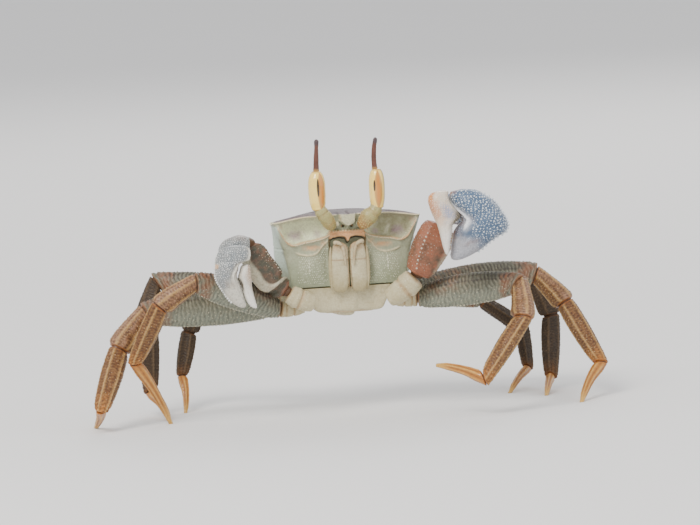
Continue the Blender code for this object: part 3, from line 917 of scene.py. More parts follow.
GREY_CLAW = Finish(
    "Small claw shell", "claw", ground=(0.17, 0.20, 0.225), patch=(0.30, 0.30, 0.285), patch_scale=520.0,
    coats=(
        Coat(Dye.BAND, (0.24, 0.14, 0.085), 0.7, 0.8, 600.0),
        Coat(Dye.TIP, (0.66, 0.62, 0.52), 0.85, 0.4, 600.0),
        # Painted shade in the gape and low on the outer face.
        Coat(Dye.SHADE, (0.16, 0.10, 0.065), 0.7, 0.6, 700.0),
        Coat(Dye.RIM, (0.80, 0.76, 0.64), 0.85, 0.3, 1000.0),
        Coat(Dye.JOINT, (0.74, 0.34, 0.06), 0.9, 0.5, 900.0),
        Coat(Dye.GRAIN, (0.84, 0.85, 0.82), 0.95, 0.35, 900.0),
        JOINT_SKIN,
    ),
    valley=(0.07, 0.07, 0.065), valley_amount=0.45, scales=2400.0, depth=0.45, roughness=0.38, varnish=0.14,
)
CREAM_FINGER = Finish(
    "Claw finger shell", "claw_finger", ground=(0.58, 0.48, 0.36), patch=(0.80, 0.74, 0.62),
    patch_scale=500.0,
    coats=(
        Coat(Dye.VIOLET, (0.24, 0.28, 0.42), 0.85, 0.5, 600.0),
        # Painted shade in the hollow by the gape, the groove and the hinge pit.
        Coat(Dye.SHADE, (0.095, 0.085, 0.045), 0.9, 0.3, 700.0),
        Coat(Dye.BAND, (0.56, 0.22, 0.09), 0.85, 0.8, 900.0),
        Coat(Dye.JOINT, (0.70, 0.24, 0.035), 0.95, 0.3, 900.0),
        Coat(Dye.TIP, (0.80, 0.77, 0.73), 0.8, 0.3, 900.0),
        granules((0.86, 0.62, 0.46)),
    ),
    valley=(0.40, 0.26, 0.16), valley_amount=0.25, scales=3000.0, depth=0.3, roughness=0.32, varnish=0.3,
)
PALE_FINGER = Finish(
    "Small claw finger shell", "claw_finger", ground=(0.60, 0.57, 0.49), patch=(0.78, 0.75, 0.67),
    patch_scale=500.0,
    coats=(
        Coat(Dye.VIOLET, (0.48, 0.50, 0.50), 0.6, 0.6, 600.0),
        # Painted shade in the hollow by the gape, the groove and the hinge pit.
        Coat(Dye.SHADE, (0.12, 0.10, 0.075), 0.85, 0.4, 700.0),
        Coat(Dye.BAND, (0.42, 0.25, 0.14), 0.75, 0.8, 900.0),
        Coat(Dye.JOINT, (0.36, 0.17, 0.08), 0.8, 0.7, 900.0),
        Coat(Dye.TIP, (0.82, 0.80, 0.74), 0.8, 0.3, 900.0),
        granules((0.84, 0.76, 0.62)),
    ),
    valley=(0.34, 0.27, 0.18), valley_amount=0.3, scales=3000.0, depth=0.3, roughness=0.32, varnish=0.3,
)


LINE_GAP, HALF_RING, SMALLEST_DOME = 0.87, 16, 0.3
SKIN_FOLD, BAR_TEETH = 0.4, 3.9


def set_row(shell: ShellMesh, tube: Tube, turn: float, span: tuple[float, float], spacing: float,
            radius: float, dyes: dict[Dye, float], rise: float = 0.8, uneven_by: float = 0.25,
            sides: int = 7) -> None:
    """Sets a row of domes along a tube.

    Args:
        shell: the piece.
        tube: the tube they stand on.
        turn: where round it the row runs.
        span: the fractions of the length it runs between.
        spacing: from dome to dome.
        radius: of a dome.
        dyes: their dyes.
        rise: their height over half width.
        uneven_by: how much sizes vary.
        sides: their sides.
    """
    start, end = span
    count = max(2, int((end - start) * tube.length / spacing))
    for index in range(count):
        here, outward = tube.spot(turn, start + (end - start) * (index + 0.5) / count)
        size = radius * (1.0 - uneven_by * scatter(index * 3.1 + turn * 57.0 + tube.length))
        shell.bead(here - outward * size * 0.15, outward, size, dyes, rise, sides=sides)


def set_field(shell: ShellMesh, tube: Tube, middle: float, reach: float, span: tuple[float, float],
              spacing: float, radius: float, dyes: dict[Dye, float], keep: Callable[[float, float], float],
              rise: float = 0.6, stretch: float = 1.0, sides: int = 7) -> None:
    """Covers part of a tube with staggered domes.

    Args:
        shell: the piece.
        tube: the tube they stand on.
        middle: the turn at the middle of the field.
        reach: how far it goes either way, in turns.
        span: the fractions of the length it runs between.
        spacing: from dome to dome.
        radius: of the largest dome.
        dyes: their dyes.
        keep: relative size for (turn, fraction along).
        rise: their height over half width.
        stretch: how much longer they are round the tube.
        sides: their sides.
    """
    start, end = span
    lines = max(1, int((end - start) * tube.length / (spacing * LINE_GAP)))
    for line in range(lines):
        at = start + (end - start) * (line + 0.5) / lines
        section = tube.section(at)
        ring = [tube.surface(section, middle + reach * (step / HALF_RING - 1.0), at)
                for step in range(2 * HALF_RING + 1)]
        weights = [(after - before).length for before, after in zip(ring, ring[1:])]
        width = sum(weights)
        count = max(1, int(width / (spacing * (0.6 + 0.4 * stretch))))
        for index, mark in enumerate(even_marks(weights, 2 * count + 1, False)[line % 2:-1:2]):
            seed = line * 131.7 + index * 17.3 + tube.length
            sway = 0.5 * (scatter(seed + 2.0) - 0.5) * spacing / width
            turn = middle + reach * (mark / HALF_RING - 1.0 + sway)
            along = at + 0.6 * (scatter(seed + 5.0) - 0.5) * spacing / tube.length
            size = keep(turn % 1.0, along) * (0.55 + 0.60 * scatter(seed + 9.0))
            if size < SMALLEST_DOME:
                continue
            here, outward = tube.spot(turn, along)
            long_way = outward.cross(section.along).normalized() * stretch if stretch > 1.0 else None
            grown = radius * size
            shell.bead(here - outward * grown * 0.2, outward, grown, dyes, rise, long_way, sides)


def joint_plug(shell: ShellMesh, points: Sequence[Vector], tall_axis: Vector, tall: float,
               thick: float) -> None:
    """Fills a joint with the dark skin that shows between two segments.

    Args:
        shell: the piece it joins.
        points: from inside the one segment, through the joint, to inside the other.
        tall_axis: the way of its height.
        tall: its height.
        thick: its thickness.
    """
    skin = Tube([(point, tall * part, thick * part) for point, part in zip(points, (0.8, 1.0, 0.8))],
                tall_axis, 2.2, cap_start=0.3, cap_end=0.3,
                relief=lambda turn, at, run: 0.05 * math.sin(run * 2 * math.pi / SKIN_FOLD))
    skin.grow(shell, 28, 14, lambda turn, at: {Dye.PIT: 1.0}, SKIN_STRIP)


PLAN = (
    (0.0, -12.6), (2.6, -12.5), (4.4, -11.9), (8.0, -11.5), (12.5, -11.7), (16.5, -12.2),
    (18.8, -11.9), (19.0, -9.8), (18.9, -5.0), (18.6, 0.0), (17.8, 5.0), (16.2, 9.6),
    (13.4, 13.2), (9.6, 15.4), (5.0, 16.2), (0.0, 16.4),
)
HALF_WIDTH = 18.8
SHELL_PITCH, PITCH_PIVOT_Z = math.radians(2.5), 42.0
BODY_SHIFT = Vector((0.3, 0.0, -0.6))
ARCHED_FROM_Z, MARGIN_Z, SHELL_TOP = 47.0, 50.3, 52.97


def pitched(x: float, y: float, z: float) -> Vector:
    """Tips a body point by the pitch of the shell and sets it over the legs."""
    cos, sin = math.cos(SHELL_PITCH), math.sin(SHELL_PITCH)
    return Vector((x, y * cos + (z - PITCH_PIVOT_Z) * sin, z - y * sin)) + BODY_SHIFT


def crest_height(x: float) -> float:
    """Height of the shell's front edge."""
    return curve_through((52.2, 52.15, 52.0, 52.0, 51.5, 51.1, 50.9),
                         (0.0, 3.5, 7.5, 11.0, 15.0, 17.25, HALF_WIDTH), min(HALF_WIDTH, abs(x)))


def raised(depth: float, crest: float, z: float) -> float:
    """Lifts the heights near the margin so that it arches over the face and stays level along the sides.

    Args:
        depth: the plan point's Y.
        crest: the height of the front edge there.
        z: the plain height.

    Returns:
        The height on the shell.
    """
    crest = MARGIN_Z + (crest - MARGIN_Z) * smooth(-5.0, -11.5, depth)
    if z > MARGIN_Z:
        return crest + (z - MARGIN_Z) / (SHELL_TOP - MARGIN_Z) * (SHELL_TOP - crest)
    if z < ARCHED_FROM_Z:
        return z
    return ARCHED_FROM_Z + (z - ARCHED_FROM_Z) / (MARGIN_Z - ARCHED_FROM_Z) * (crest - ARCHED_FROM_Z)


@dataclass(frozen=True)
class Swell:
    """A soft bump of the face, the same on both sides; a rise below zero is a pit."""

    out: float
    z: float
    reach_out: float
    reach_z: float
    rise: float

    def at(self, wide: float, z: float) -> float:
        """How far it stands forward there."""
        return self.rise * hump(wide, self.out, self.reach_out) * hump(z, self.z, self.reach_z)


BROW_LOBE = Swell(2.7, 50.0, 0.85, 1.15, 1.5)
FEELER_FOOT = Swell(3.8, 48.9, 0.8, 0.85, 1.0)
NOSE_WALL = Swell(0.0, 48.9, 0.55, 0.9, 0.7)
NOSE_PIT = Swell(1.15, 49.2, 0.62, 0.62, -1.0)
HOLLOW_CORNER = Swell(14.05, 44.9, 0.8, 0.7, 0.35)
CHEEK_SWELL = Swell(9.6, 39.5, 5.0, 7.5, 1.25)
CHEEK_DIP = Swell(9.2, 43.9, 3.6, 1.15, -0.45)


@dataclass
class BodyShell:
    """The carapace: back, side walls, brow with the eye hollows, and the cheeks down to the mouth.

    A level is (height, width in front, width at the sides, length, shift back) over the plan.
    """

    columns: int = 420
    rows: int = 180
    levels: tuple[Row, ...] = (
        (33.7, 0.785, 0.800, 0.850, 0.8), (35.6, 0.798, 0.860, 0.865, 0.7), (38.4, 0.815, 0.930, 0.872, 0.6),
        (41.6, 0.850, 0.964, 0.880, 0.6), (43.4, 0.876, 0.968, 0.905, 0.5), (45.0, 0.900, 0.970, 0.930, 0.4),
        (47.0, 0.941, 0.972, 0.955, 0.2), (49.0, 0.980, 0.985, 0.985, 0.0), (50.0, 0.998, 0.997, 0.998, 0.0),
        (50.3, 1.000, 1.000, 1.000, 0.0), (50.42, 0.990, 0.990, 0.994, 0.0), (50.6, 0.955, 0.955, 0.975, 0.0),
        (50.9, 0.870, 0.870, 0.940, 0.0), (51.3, 0.760, 0.760, 0.885, 0.0), (51.75, 0.640, 0.640, 0.820, 0.0),
        (52.2, 0.530, 0.530, 0.740, 0.0), (52.6, 0.400, 0.400, 0.620, 0.0), (52.85, 0.250, 0.250, 0.420, 0.0),
        (52.95, 0.100, 0.100, 0.200, 0.0), (52.97, 0.010, 0.010, 0.015, 0.0),
    )
    plan_samples: int = 1600
    level_samples: int = 800
    edge_level: float = 50.33
    front_crowding: float = 2.1
    brow_crowding: float = 2.8
    hollow_depth: float = 3.3
    feeler_widths: tuple[float, ...] = (0.9, 0.75, 0.42, 0.28, 0.14)
    outline: list[tuple[float, ...]] = field(init=False)
    profile: list[tuple[float, ...]] = field(init=False)

    def __post_init__(self) -> None:
        """Lays out the columns round the plan and the rows up the walls and over the back."""
        loop = list(PLAN) + [(-x, y) for x, y in PLAN[-2:0:-1]]
        ring = loop[-2:] + loop + loop[:3]
        chords = [0.0]
        for start, end in zip(ring, ring[1:]):
            chords.append(chords[-1] + math.dist(start, end))
        begin, finish = chords[2], chords[2 + len(loop)]
        fine = self.plan_samples
        dense = [tuple(curve_through([p[axis] for p in ring], chords, begin + (finish - begin) * i / fine)
                       for axis in range(2)) for i in range(fine + 1)]
        weights = [math.dist(a, b) * (self.front_crowding if a[1] < -9.4 else 1.0)
                   for a, b in zip(dense, dense[1:])]
        self.outline = picked(dense, even_marks(weights, self.columns, True))
        tall, last = self.level_samples, len(self.levels) - 1
        steps = [tuple(curve_through([level[k] for level in self.levels], range(last + 1), last * i / tall)
                       for k in range(5)) for i in range(tall + 1)]
        weights = [math.hypot(b[0] - a[0], 17.0 * (b[1] - a[1])) * (self.brow_crowding if 41.5 < a[0] < 50.6
                                                                    else 1.0)
                   for a, b in zip(steps, steps[1:])]
        self.profile = picked(steps, even_marks(weights, self.rows + 1, False))

    @staticmethod
    def lower_brow(x: float) -> float:
        """Height of the ridge under the eye hollow."""
        return curve_through((47.7, 47.0, 46.35, 45.65, 45.25, 44.8, 45.6, 47.0, 49.3, 50.6),
                             (3.6, 4.7, 5.9, 8.9, 11.9, 14.05, 15.65, 16.6, 17.9, 18.6),
                             min(18.6, max(3.6, abs(x))))

    @staticmethod
    def cheek_ridge(x: float) -> float:
        """Height of the second ridge, which runs from beside the mouth out under the first."""
        return curve_through((45.8, 45.2, 44.15, 42.6, 42.0, 42.3, 43.0),
                             (4.9, 5.5, 6.6, 7.9, 9.9, 12.0, 14.0), min(14.0, max(4.9, abs(x))))

    @staticmethod
    def upper_brow(x: float) -> float:
        """Height of the margin over the eye hollow."""
        return crest_height(x) - 0.30

    @staticmethod
    def mouth_frame(x: float) -> float:
        """Height of the lower edge of the bar over the mouth: a middle tooth between two arcs."""
        return 46.35 - 1.2 * hump(x, 0.0, 0.85) + 0.2 * hump(abs(x), 2.1, 1.4) - 0.4 * hump(abs(x), 4.5, 0.9)

    @staticmethod
    def frame_edge(z: float) -> float:
        """How far out the side of the mouth frame stands."""
        return 4.85 - 0.02 * (46.5 - z)

    def hollow(self, x: float, z: float) -> float:
        """1 inside the eye hollow, 0 outside it."""
        low, high = self.lower_brow(x), self.upper_brow(x)
        return (plateau(abs(x), 2.7, 3.9, 17.8, 18.6)
                * plateau(z, low + 0.05, low + 0.5, high - 0.28, high + 0.05))

    @staticmethod
    def orbit_folds(x: float, z: float) -> float:
        """The soft lobes on the floor of the eye hollow and the pale crease between them."""
        wide = abs(x)
        outer = hump(math.hypot((wide - 13.6) / 2.6, (z - 48.0 + 0.12 * wide) / 1.9), 0.0, 1.0)
        inner = hump(math.hypot((wide - 8.7) / 1.8, (z - 47.3) / 1.6), 0.0, 1.0)
        crease = hump(wide - 11.0 - 0.5 * (z - 47.6), 0.0, 0.5) * hump(z, 47.6, 1.5)
        return min(1.0, outer + 0.8 * inner + 0.5 * crease)

    def face(self, x: float, z: float) -> float:
        """How far the front stands back of its plain outline; negative is forward."""
        wide, low = abs(x), self.lower_brow(x)
        depth = self.hollow_depth * plateau(wide, 3.0, 6.2, 14.5, 18.9)
        sunk = depth * (0.30 + 0.70 * smooth(low, low + 2.6, z)) - 0.75 * self.orbit_folds(x, z)
        back = self.hollow(x, z) * sunk
        under_ridge = 0.42 * hump(z, low, 0.42) * plateau(wide, 3.4, 4.6, 17.6, 18.4)
        margin_roll = 0.20 * hump(z, self.upper_brow(x) + 0.22, 0.30) * smooth(2.6, 3.4, wide)
        back -= under_ridge + margin_roll + self.plate_rise(x, z)
        back -= sum(swell.at(wide, z)
                    for swell in (BROW_LOBE, FEELER_FOOT, NOSE_WALL, NOSE_PIT, HOLLOW_CORNER))
        tooth = self.mouth_frame(x)
        bar = plateau(z, tooth - 0.12, tooth + 0.12, 47.95, 48.25) * smooth(4.7, 4.2, wide)
        toothed = 0.25 * abs(math.sin(wide * BAR_TEETH)) * hump(z, 48.0, 0.35)
        back -= bar * (0.85 + toothed - 0.25 * hump(z, 47.3, 0.3))
        return back - (self.mouth_side(x, z) if z < 46.8 else 0.0)

    @staticmethod
    def plate_rise(x: float, z: float) -> float:
        """How far the brow plate between the eyes stands forward."""
        half, low = 1.85 + 0.35 * smooth(50.4, 52.8, z), 49.3 + 0.30 * x * x
        plate = smooth(half + 0.2, half - 0.2, abs(x)) * plateau(z, low - 0.2, low + 0.15, 52.1, SHELL_TOP)
        groove = 0.22 * hump(x, 0.0, 0.5) * smooth(51.0, 52.2, z)
        return plate * (3.1 + 0.35 * hump(x, 0.0, 1.6) - 0.3 * smooth(50.6, 52.2, z) - groove)

    def mouth_side(self, x: float, z: float) -> float:
        """How far the mouth's frame, the cheek and the second ridge stand forward."""
        wide, edge, tooth = abs(x), self.frame_edge(z), self.mouth_frame(x)
        cavity = smooth(edge + 0.05, edge - 0.35, wide) * smooth(tooth + 0.05, tooth - 0.35, z)
        frame_wall = 0.35 * hump(wide, edge + 0.35, 0.55) * smooth(46.9, 46.2, z)
        ridge = 0.34 * hump(z, self.cheek_ridge(x), 0.5) * plateau(wide, 4.8, 5.4, 12.6, 14.0)
        return frame_wall + ridge - 1.15 * cavity + CHEEK_SWELL.at(wide, z) + CHEEK_DIP.at(wide, z)

    @staticmethod
    def back_groove(x: float, y: float) -> float:
        """How deep the grooves of the back are."""
        wide = abs(x)
        neck = hump(wide, 6.4 + 0.10 * (y + 1.0) ** 2 * (1 if y < -1 else 0.35), 1.3)
        heart = hump(y, 3.2 + 0.03 * x * x, 0.9) * smooth(5.6, 3.8, wide)
        spine = hump(x, 0.0, 0.7) * smooth(-6.0, -9.0, y)
        return 0.32 * neck * plateau(y, -9.0, -6.0, 7.0, 11.0) + 0.28 * heart + 0.25 * spine

    @staticmethod
    def back_marks(x: float, y: float) -> float:
        """The dark pattern of the back: an H and two pairs of blotches."""
        wide = abs(x)
        bars = hump(wide, 5.6 + 0.02 * (y - 3.0) ** 2, 1.5) * plateau(y, -4.5, -2.0, 7.0, 11.0)
        cross = hump(y, 3.4 + 0.02 * x * x, 1.3) * smooth(6.4, 5.0, wide)
        blotch = hump(math.hypot((wide - 11.0) / 1.3, y - 6.2), 0.0, 3.0)
        rear = hump(math.hypot(wide - 4.2, (y - 11.8) / 0.8), 0.0, 2.6)
        return min(1.0, bars + cross + blotch + rear)

    def plain(self, column: int, row: int) -> tuple[float, float, float, float]:
        """X, Y and height of a vertex before the relief, and how much it belongs to the front."""
        flat_x, flat_y = self.outline[column]
        level, front_wide, side_wide, deep, shift = self.profile[row]
        x = flat_x * (side_wide + (front_wide - side_wide) * smooth(-4.0, -10.5, flat_y))
        z = raised(flat_y, crest_height(x), level)
        return x, flat_y * deep + shift, z, smooth(-9.0, -10.6, flat_y)

    def place(self, column: int, row: int) -> Vector:
        """The position of one vertex of the shell."""
        x, y, z, front = self.plain(column, row)
        if front > 0.0 and z < SHELL_TOP - 0.05:
            y += front * self.face(x, z)
        above = smooth(MARGIN_Z, MARGIN_Z + 0.5, self.profile[row][0])
        if above > 0.0:
            z -= self.back_groove(x, y) * above
        elif y > -11.0 and z < 50.0:
            x += math.copysign(0.12 * hump(z, 44.2 + 0.05 * y, 0.5), -x)
        here = Vector((x, y, z))
        lump = noise.noise(here * 0.9) * 0.05 + noise.noise(here * 3.1) * 0.03
        return pitched(x * (1 + lump / 20.0), y + lump * (1.0 - above), z + lump * above * 0.6)

    def paint(self, turn: float, part: float) -> dict[Dye, float]:
        """The dyes of one vertex."""
        row = round(part * self.rows)
        x, y, z, front = self.plain(round(turn * self.columns) % self.columns, row)
        level, out, rear = self.profile[row][0], abs(x), smooth(-3.0, 10.0, y)
        back = smooth(MARGIN_Z, 50.75, level)
        upper = (1.0 - front * smooth(18.2, 17.0, out)) * plateau(z, 34.0, 40.0, 49.6, 50.4)
        dyes = {dye: front * value for dye, value in self.face_dyes(x, z).items()}
        dyes[Dye.RIM] = min(1.0, dyes[Dye.RIM] + 0.75 * hump(level, self.edge_level, 0.25) * (1.0 - front))
        dyes[Dye.LINE] = max(dyes[Dye.LINE], front * hump(z, crest_height(x) + 0.22, 0.16)
                             * smooth(2.4, 3.2, out) * (1.0 - 0.4 * back))
        return dyes | {
            Dye.LOWER: smooth(43.0, 35.0, z), Dye.UPPER: upper * (1.0 - 0.75 * rear),
            Dye.BACK: max(back, 0.42 * rear * smooth(36.0, 46.0, z)),
            Dye.MARK: self.back_marks(x, y) * smooth(50.6, 51.6, level),
        }

    def face_dyes(self, x: float, z: float) -> dict[Dye, float]:
        """The dyes that only the front carries."""
        out, low, high = abs(x), self.lower_brow(x), self.upper_brow(x)
        crest, tooth, inside = crest_height(x), self.mouth_frame(x), self.hollow(x, z)
        plate_foot = 49.2 + 0.3 * x * x
        plate = smooth(2.35, 2.0, out) * plateau(z, plate_foot, plate_foot + 0.4, crest, crest + 0.3)
        under = hump(z, low + 0.05, 0.5) * plateau(out, 3.6, 4.8, 17.8, 18.5)
        ridge = 0.7 * hump(z, self.cheek_ridge(x), 0.5) * plateau(out, 4.8, 5.4, 12.6, 14.0)
        rim = hump(z, crest - 0.05, 0.24) * smooth(2.4, 3.0, out)
        bar = plateau(z, tooth - 0.15, tooth + 0.15, 47.9, 48.3) * smooth(4.9, 4.3, out)
        teeth = (hump(z, 48.05, 0.28) * smooth(0.3, 0.8, abs(math.sin(out * BAR_TEETH)))
                 * smooth(4.6, 4.0, out))
        # The seam beside the mouth frame takes the mouth colour and a little painted shade.
        seam = hump(out, self.frame_edge(z) - 0.15, 0.3) * smooth(46.6, 46.0, z)
        # The pits under the brow plate, below the antenna feet and under the bar over the mouth are
        # near-black painted shade.
        pit_shade = (hump(out, 1.15, 0.6) * hump(z, 49.2, 0.62) + 0.8 * hump(out, 3.3, 1.6) * hump(z, 48.45, 0.3)
                + hump(z, tooth - 0.35, 0.4) * smooth(4.6, 4.2, out))
        blush = hump(out, 4.6, 1.6) * hump(z, 49.4, 1.6) + 0.5 * hump(out, 16.8, 1.6) * hump(z, 49.6, 1.2)
        dip = hump(out, 9.2, 3.4) * hump(z, 43.9, 1.0) + 0.4 * hump(out, 6.2, 1.2) * hump(z, 45.0, 1.2)
        # The crease takes the pale fold colour with a painted highlight along it.
        crease = (hump(out, 10.8 + 0.5 * (z - 47.6), 0.8) * hump(z, 47.6, 1.7)
                  + 0.4 * hump(out, 7.4, 1.2) * hump(z, 48.6, 1.5))
        bruise = hump(out, 13.4, 2.6) * hump(z, 47.2, 1.7) + 0.6 * hump(out, 7.6, 1.6) * hump(z, 47.3, 1.3)
        # Painted shade in the eye hollows: heavy over the left hollow, light in the outer part of the right
        # one, as the light falls from one side.
        shade = 0.2 * hump(out, 13.0, 3.0) if x < 0 else 0.75 * smooth(4.0, 9.0, out)
        return {
            Dye.ORBIT: inside, Dye.SHADE: inside * shade, Dye.VIOLET: inside * min(1.0, bruise),
            # The eye hollow darkens toward its top under the brow: painted shade.
            Dye.FOLD: inside * crease, Dye.LINE: 0.35 * inside * smooth(high - 1.0, high - 0.2, z),
            Dye.BAND: min(1.0, blush) * (1.0 - plate), Dye.PIT: min(1.0, pit_shade + 0.4 * seam),
            Dye.RIM: max(0.6 * under, ridge, rim, plate * (0.3 + 0.4 * hump(out, 2.0, 0.3)), teeth),
            Dye.MOUTH: min(1.0, bar * (1.0 - teeth) + 0.6 * seam + 0.7 * dip + 0.6 * under),
        }

    def surface_spot(self, x: float, z: float) -> Vector:
        """A point on the front face near a given X and height."""
        narrowed = 0.79 + 0.21 * smooth(33.0, 51.0, z)
        front = [column for column in range(self.columns) if self.outline[column][1] <= -9]
        nearest = min(front, key=lambda column: abs(self.outline[column][0] * narrowed - x))
        row = min(range(self.rows + 1), key=lambda row: abs(self.plain(nearest, row)[2] - z))
        return self.place(nearest, row)

    def build(self) -> None:
        """Makes the carapace piece."""
        shell = ShellMesh()
        shell.loft(self.columns, self.rows, self.place, self.paint, (0.0, 0.86))
        self.bead_side_margins(shell)
        for side in (-1.0, 1.0):
            self.bead_face(shell, side)
        for side in (-1.0, 1.0):
            self.feelers(shell, side)
        shell.store("carapace", BACK_SHELL, "carapace_shell")

    def bead_side_margins(self, shell: ShellMesh) -> None:
        """Fine beads along the side margins."""
        edge_row = min(range(self.rows + 1), key=lambda row: abs(self.profile[row][0] - self.edge_level))
        run = 0.0
        for column, (x, y) in enumerate(self.outline):
            run += math.dist(self.outline[column - 1], (x, y))
            if run < 0.52 or not -11.6 < y < 8.5 or abs(x) < 15.0:
                continue
            run = 0.0
            size = 0.21 * (1.0 - 0.5 * smooth(2.0, 8.5, y))
            shell.bead(self.place(column, edge_row), Vector((x, 0.3 * y, 1.5)), size,
                       {Dye.GRAIN: 0.9, Dye.RIM: 0.6}, 0.8, sides=6)

    def bead_face(self, shell: ShellMesh, side: float) -> None:
        """Beads under one eye hollow, a short row down the cheek, and granules over it."""
        for index in range(34):
            x = 4.9 + index * 0.375
            shell.bead(self.surface_spot(side * x, self.lower_brow(x)), Vector((0.0, -1.0, 0.3)), 0.17,
                       {Dye.GRAIN: 0.5, Dye.RIM: 0.9}, 0.8, sides=6)
        for index in range(8):
            here = self.surface_spot(side * (10.5 + 0.12 * math.sin(index * 2.3)), 40.5 - index * 0.42)
            shell.bead(here, Vector((side * 0.3, -1.0, 0.0)), 0.2, {Dye.GRAIN: 1.0}, 0.8, sides=6)
        for line in range(19):
            for index in range(14):
                x = 5.7 + index * 0.56 + 0.28 * (line % 2)
                z = 34.4 + line * 0.50 + 0.10 * (x - 5.0)
                if z > self.cheek_ridge(x) - 0.5 or scatter(line * 7.7 + index * 3.3 + side) < 0.22:
                    continue
                shell.bead(self.surface_spot(side * x, z), Vector((side * 0.2, -1.0, 0.1)),
                           0.10 + 0.06 * scatter(x + z), {Dye.GRAIN: 0.9}, 0.75, sides=5)

    def feelers(self, shell: ShellMesh, side: float) -> None:
        """The short antenna, the folded antennule beside the brow plate and two lobes, on one side."""
        base, start = self.surface_spot(side * 3.1, 48.9), self.surface_spot(side * 1.35, 49.2)
        antenna = [(base + Vector((side * x, y, z)), wide, wide) for (x, y, z), wide in zip(
            ((0.1, 0.3, 0.0), (0.35, -0.7, 0.1), (0.9, -1.3, -0.2), (1.7, -1.5, -0.8), (2.3, -1.4, -1.5)),
            self.feeler_widths)]
        tube = Tube(antenna, Vector((0, 0.3, 1)), cap_start=0.1, cap_end=0.1,
                    relief=lambda turn, at, run: 0.03 * math.sin(run * 2 * math.pi / 0.35) * (1.0 - at))
        tube.grow(shell, 12, 30, lambda turn, at: {Dye.RIM: 0.3, Dye.MOUTH: 0.5 * at}, (0.87, 0.885))
        antennule = [(start + Vector((side * x, y, z)), wide, wide) for x, y, z, wide in (
            (0.0, 0.6, 0.0, 0.45), (0.15, -0.25, 0.1, 0.4), (0.6, -0.45, -0.25, 0.2))]
        curl = Tube(antennule, Vector((0, 0.3, 1)), cap_start=0.1, cap_end=0.1)
        # The antennule is darkened a little with the painted shade of its pit.
        curl.grow(shell, 8, 10, lambda turn, at: {Dye.MOUTH: 0.8, Dye.PIT: 0.3}, (0.885, 0.895))
        lobe = self.surface_spot(side * 2.75, 49.9)
        shell.bead(lobe, Vector((side * 0.15, -1.0, 0.1)), 0.62, {Dye.RIM: 0.45, Dye.ORBIT: 0.6}, 0.85,
                   sides=14)
        shell.bead(lobe + Vector((side * 0.75, -0.1, -0.75)), Vector((side * 0.3, -1.0, 0.0)), 0.42,
                   {Dye.RIM: 0.8, Dye.MOUTH: 0.3}, 0.85, sides=12)


BREAST_GROOVES = (-7.4, -3.0, 2.2, 7.6)
TAIL_SEAMS = (0.2, 0.36, 0.52, 0.68, 0.84)


@dataclass
class Breastplate:
    """The underside: the breast with its cross grooves, and the narrow folded tail on it.

    A level is (height, width, length, shift back) over the plan; a flap row is (y, z, width).
    """

    columns: int = 200
    rows: int = 60
    levels: tuple[tuple[float, float, float, float], ...] = (
        (26.6, 0.30, 0.60, 1.0), (27.2, 0.44, 0.74, 1.0), (29.0, 0.50, 0.79, 1.0),
        (31.0, 0.54, 0.81, 0.9), (32.6, 0.60, 0.825, 0.8), (33.35, 0.65, 0.835, 0.8),
    )
    flap: tuple[tuple[float, float, float], ...] = (
        (14.2, 30.2, 7.6), (12.4, 27.6, 8.4), (9.0, 26.3, 7.4), (5.0, 26.0, 6.0), (1.0, 26.0, 4.6),
        (-3.4, 26.2, 3.4), (-6.0, 26.5, 2.0),
    )
    flap_thick: float = 2.0
    flap_lift: float = 0.35

    def __post_init__(self) -> None:
        """Takes the columns from the carapace's plan."""
        self.outline = BodyShell(columns=self.columns, rows=8).outline

    @staticmethod
    def groove(x: float, y: float, reach: float) -> float:
        """1 in a cross groove of the breast."""
        return max(hump(y, mark + 0.02 * x * x, reach) for mark in BREAST_GROOVES)

    def place(self, column: int, row: int) -> Vector:
        """The position of one vertex of the breast."""
        count = len(self.levels)
        z, wide, deep, shift = (curve_through([level[k] for level in self.levels], range(count),
                                              row / self.rows * (count - 1)) for k in range(4))
        flat_x, flat_y = self.outline[column]
        x, y = flat_x * wide, flat_y * deep + shift
        groove = self.groove(x, y, 0.7)
        inward = 1.0 - 0.035 * groove * smooth(34.0, 32.0, z)
        return pitched(x * inward, y, z + 0.25 * groove * smooth(28.0, 26.8, z))

    def paint(self, turn: float, part: float) -> dict[Dye, float]:
        """Tints the cross grooves and the upper edge."""
        here = self.place(round(turn * self.columns), round(part * self.rows))
        return {Dye.JOINT: 0.5 * self.groove(here.x, here.y, 0.9),
                Dye.LOWER: 0.7 * smooth(30.0, 33.5, here.z)}

    @staticmethod
    def tail_seam(at: float, reach: float) -> float:
        """1 in a seam of the tail."""
        return max(hump(at, mark, reach) for mark in TAIL_SEAMS)

    def build(self) -> None:
        """Makes the breast and the tail flap as one piece."""
        shell = ShellMesh()
        shell.loft(self.columns, self.rows, self.place, self.paint, (0.0, 0.6))
        rows = [(pitched(0.0, y, z + self.flap_lift), self.flap_thick, wide) for y, z, wide in self.flap]
        tail = Tube(rows, Vector((0, 0, 1)), 2.6, cap_start=1.2, cap_end=1.6,
                    relief=lambda turn, at, run: -0.22 * self.tail_seam(at, 0.018))
        tail.grow(shell, 40, 90, lambda turn, at: {Dye.JOINT: 0.6 * self.tail_seam(at, 0.03)}, (0.62, 0.86))
        shell.store("thorax", BREAST_SHELL, "breastplate")


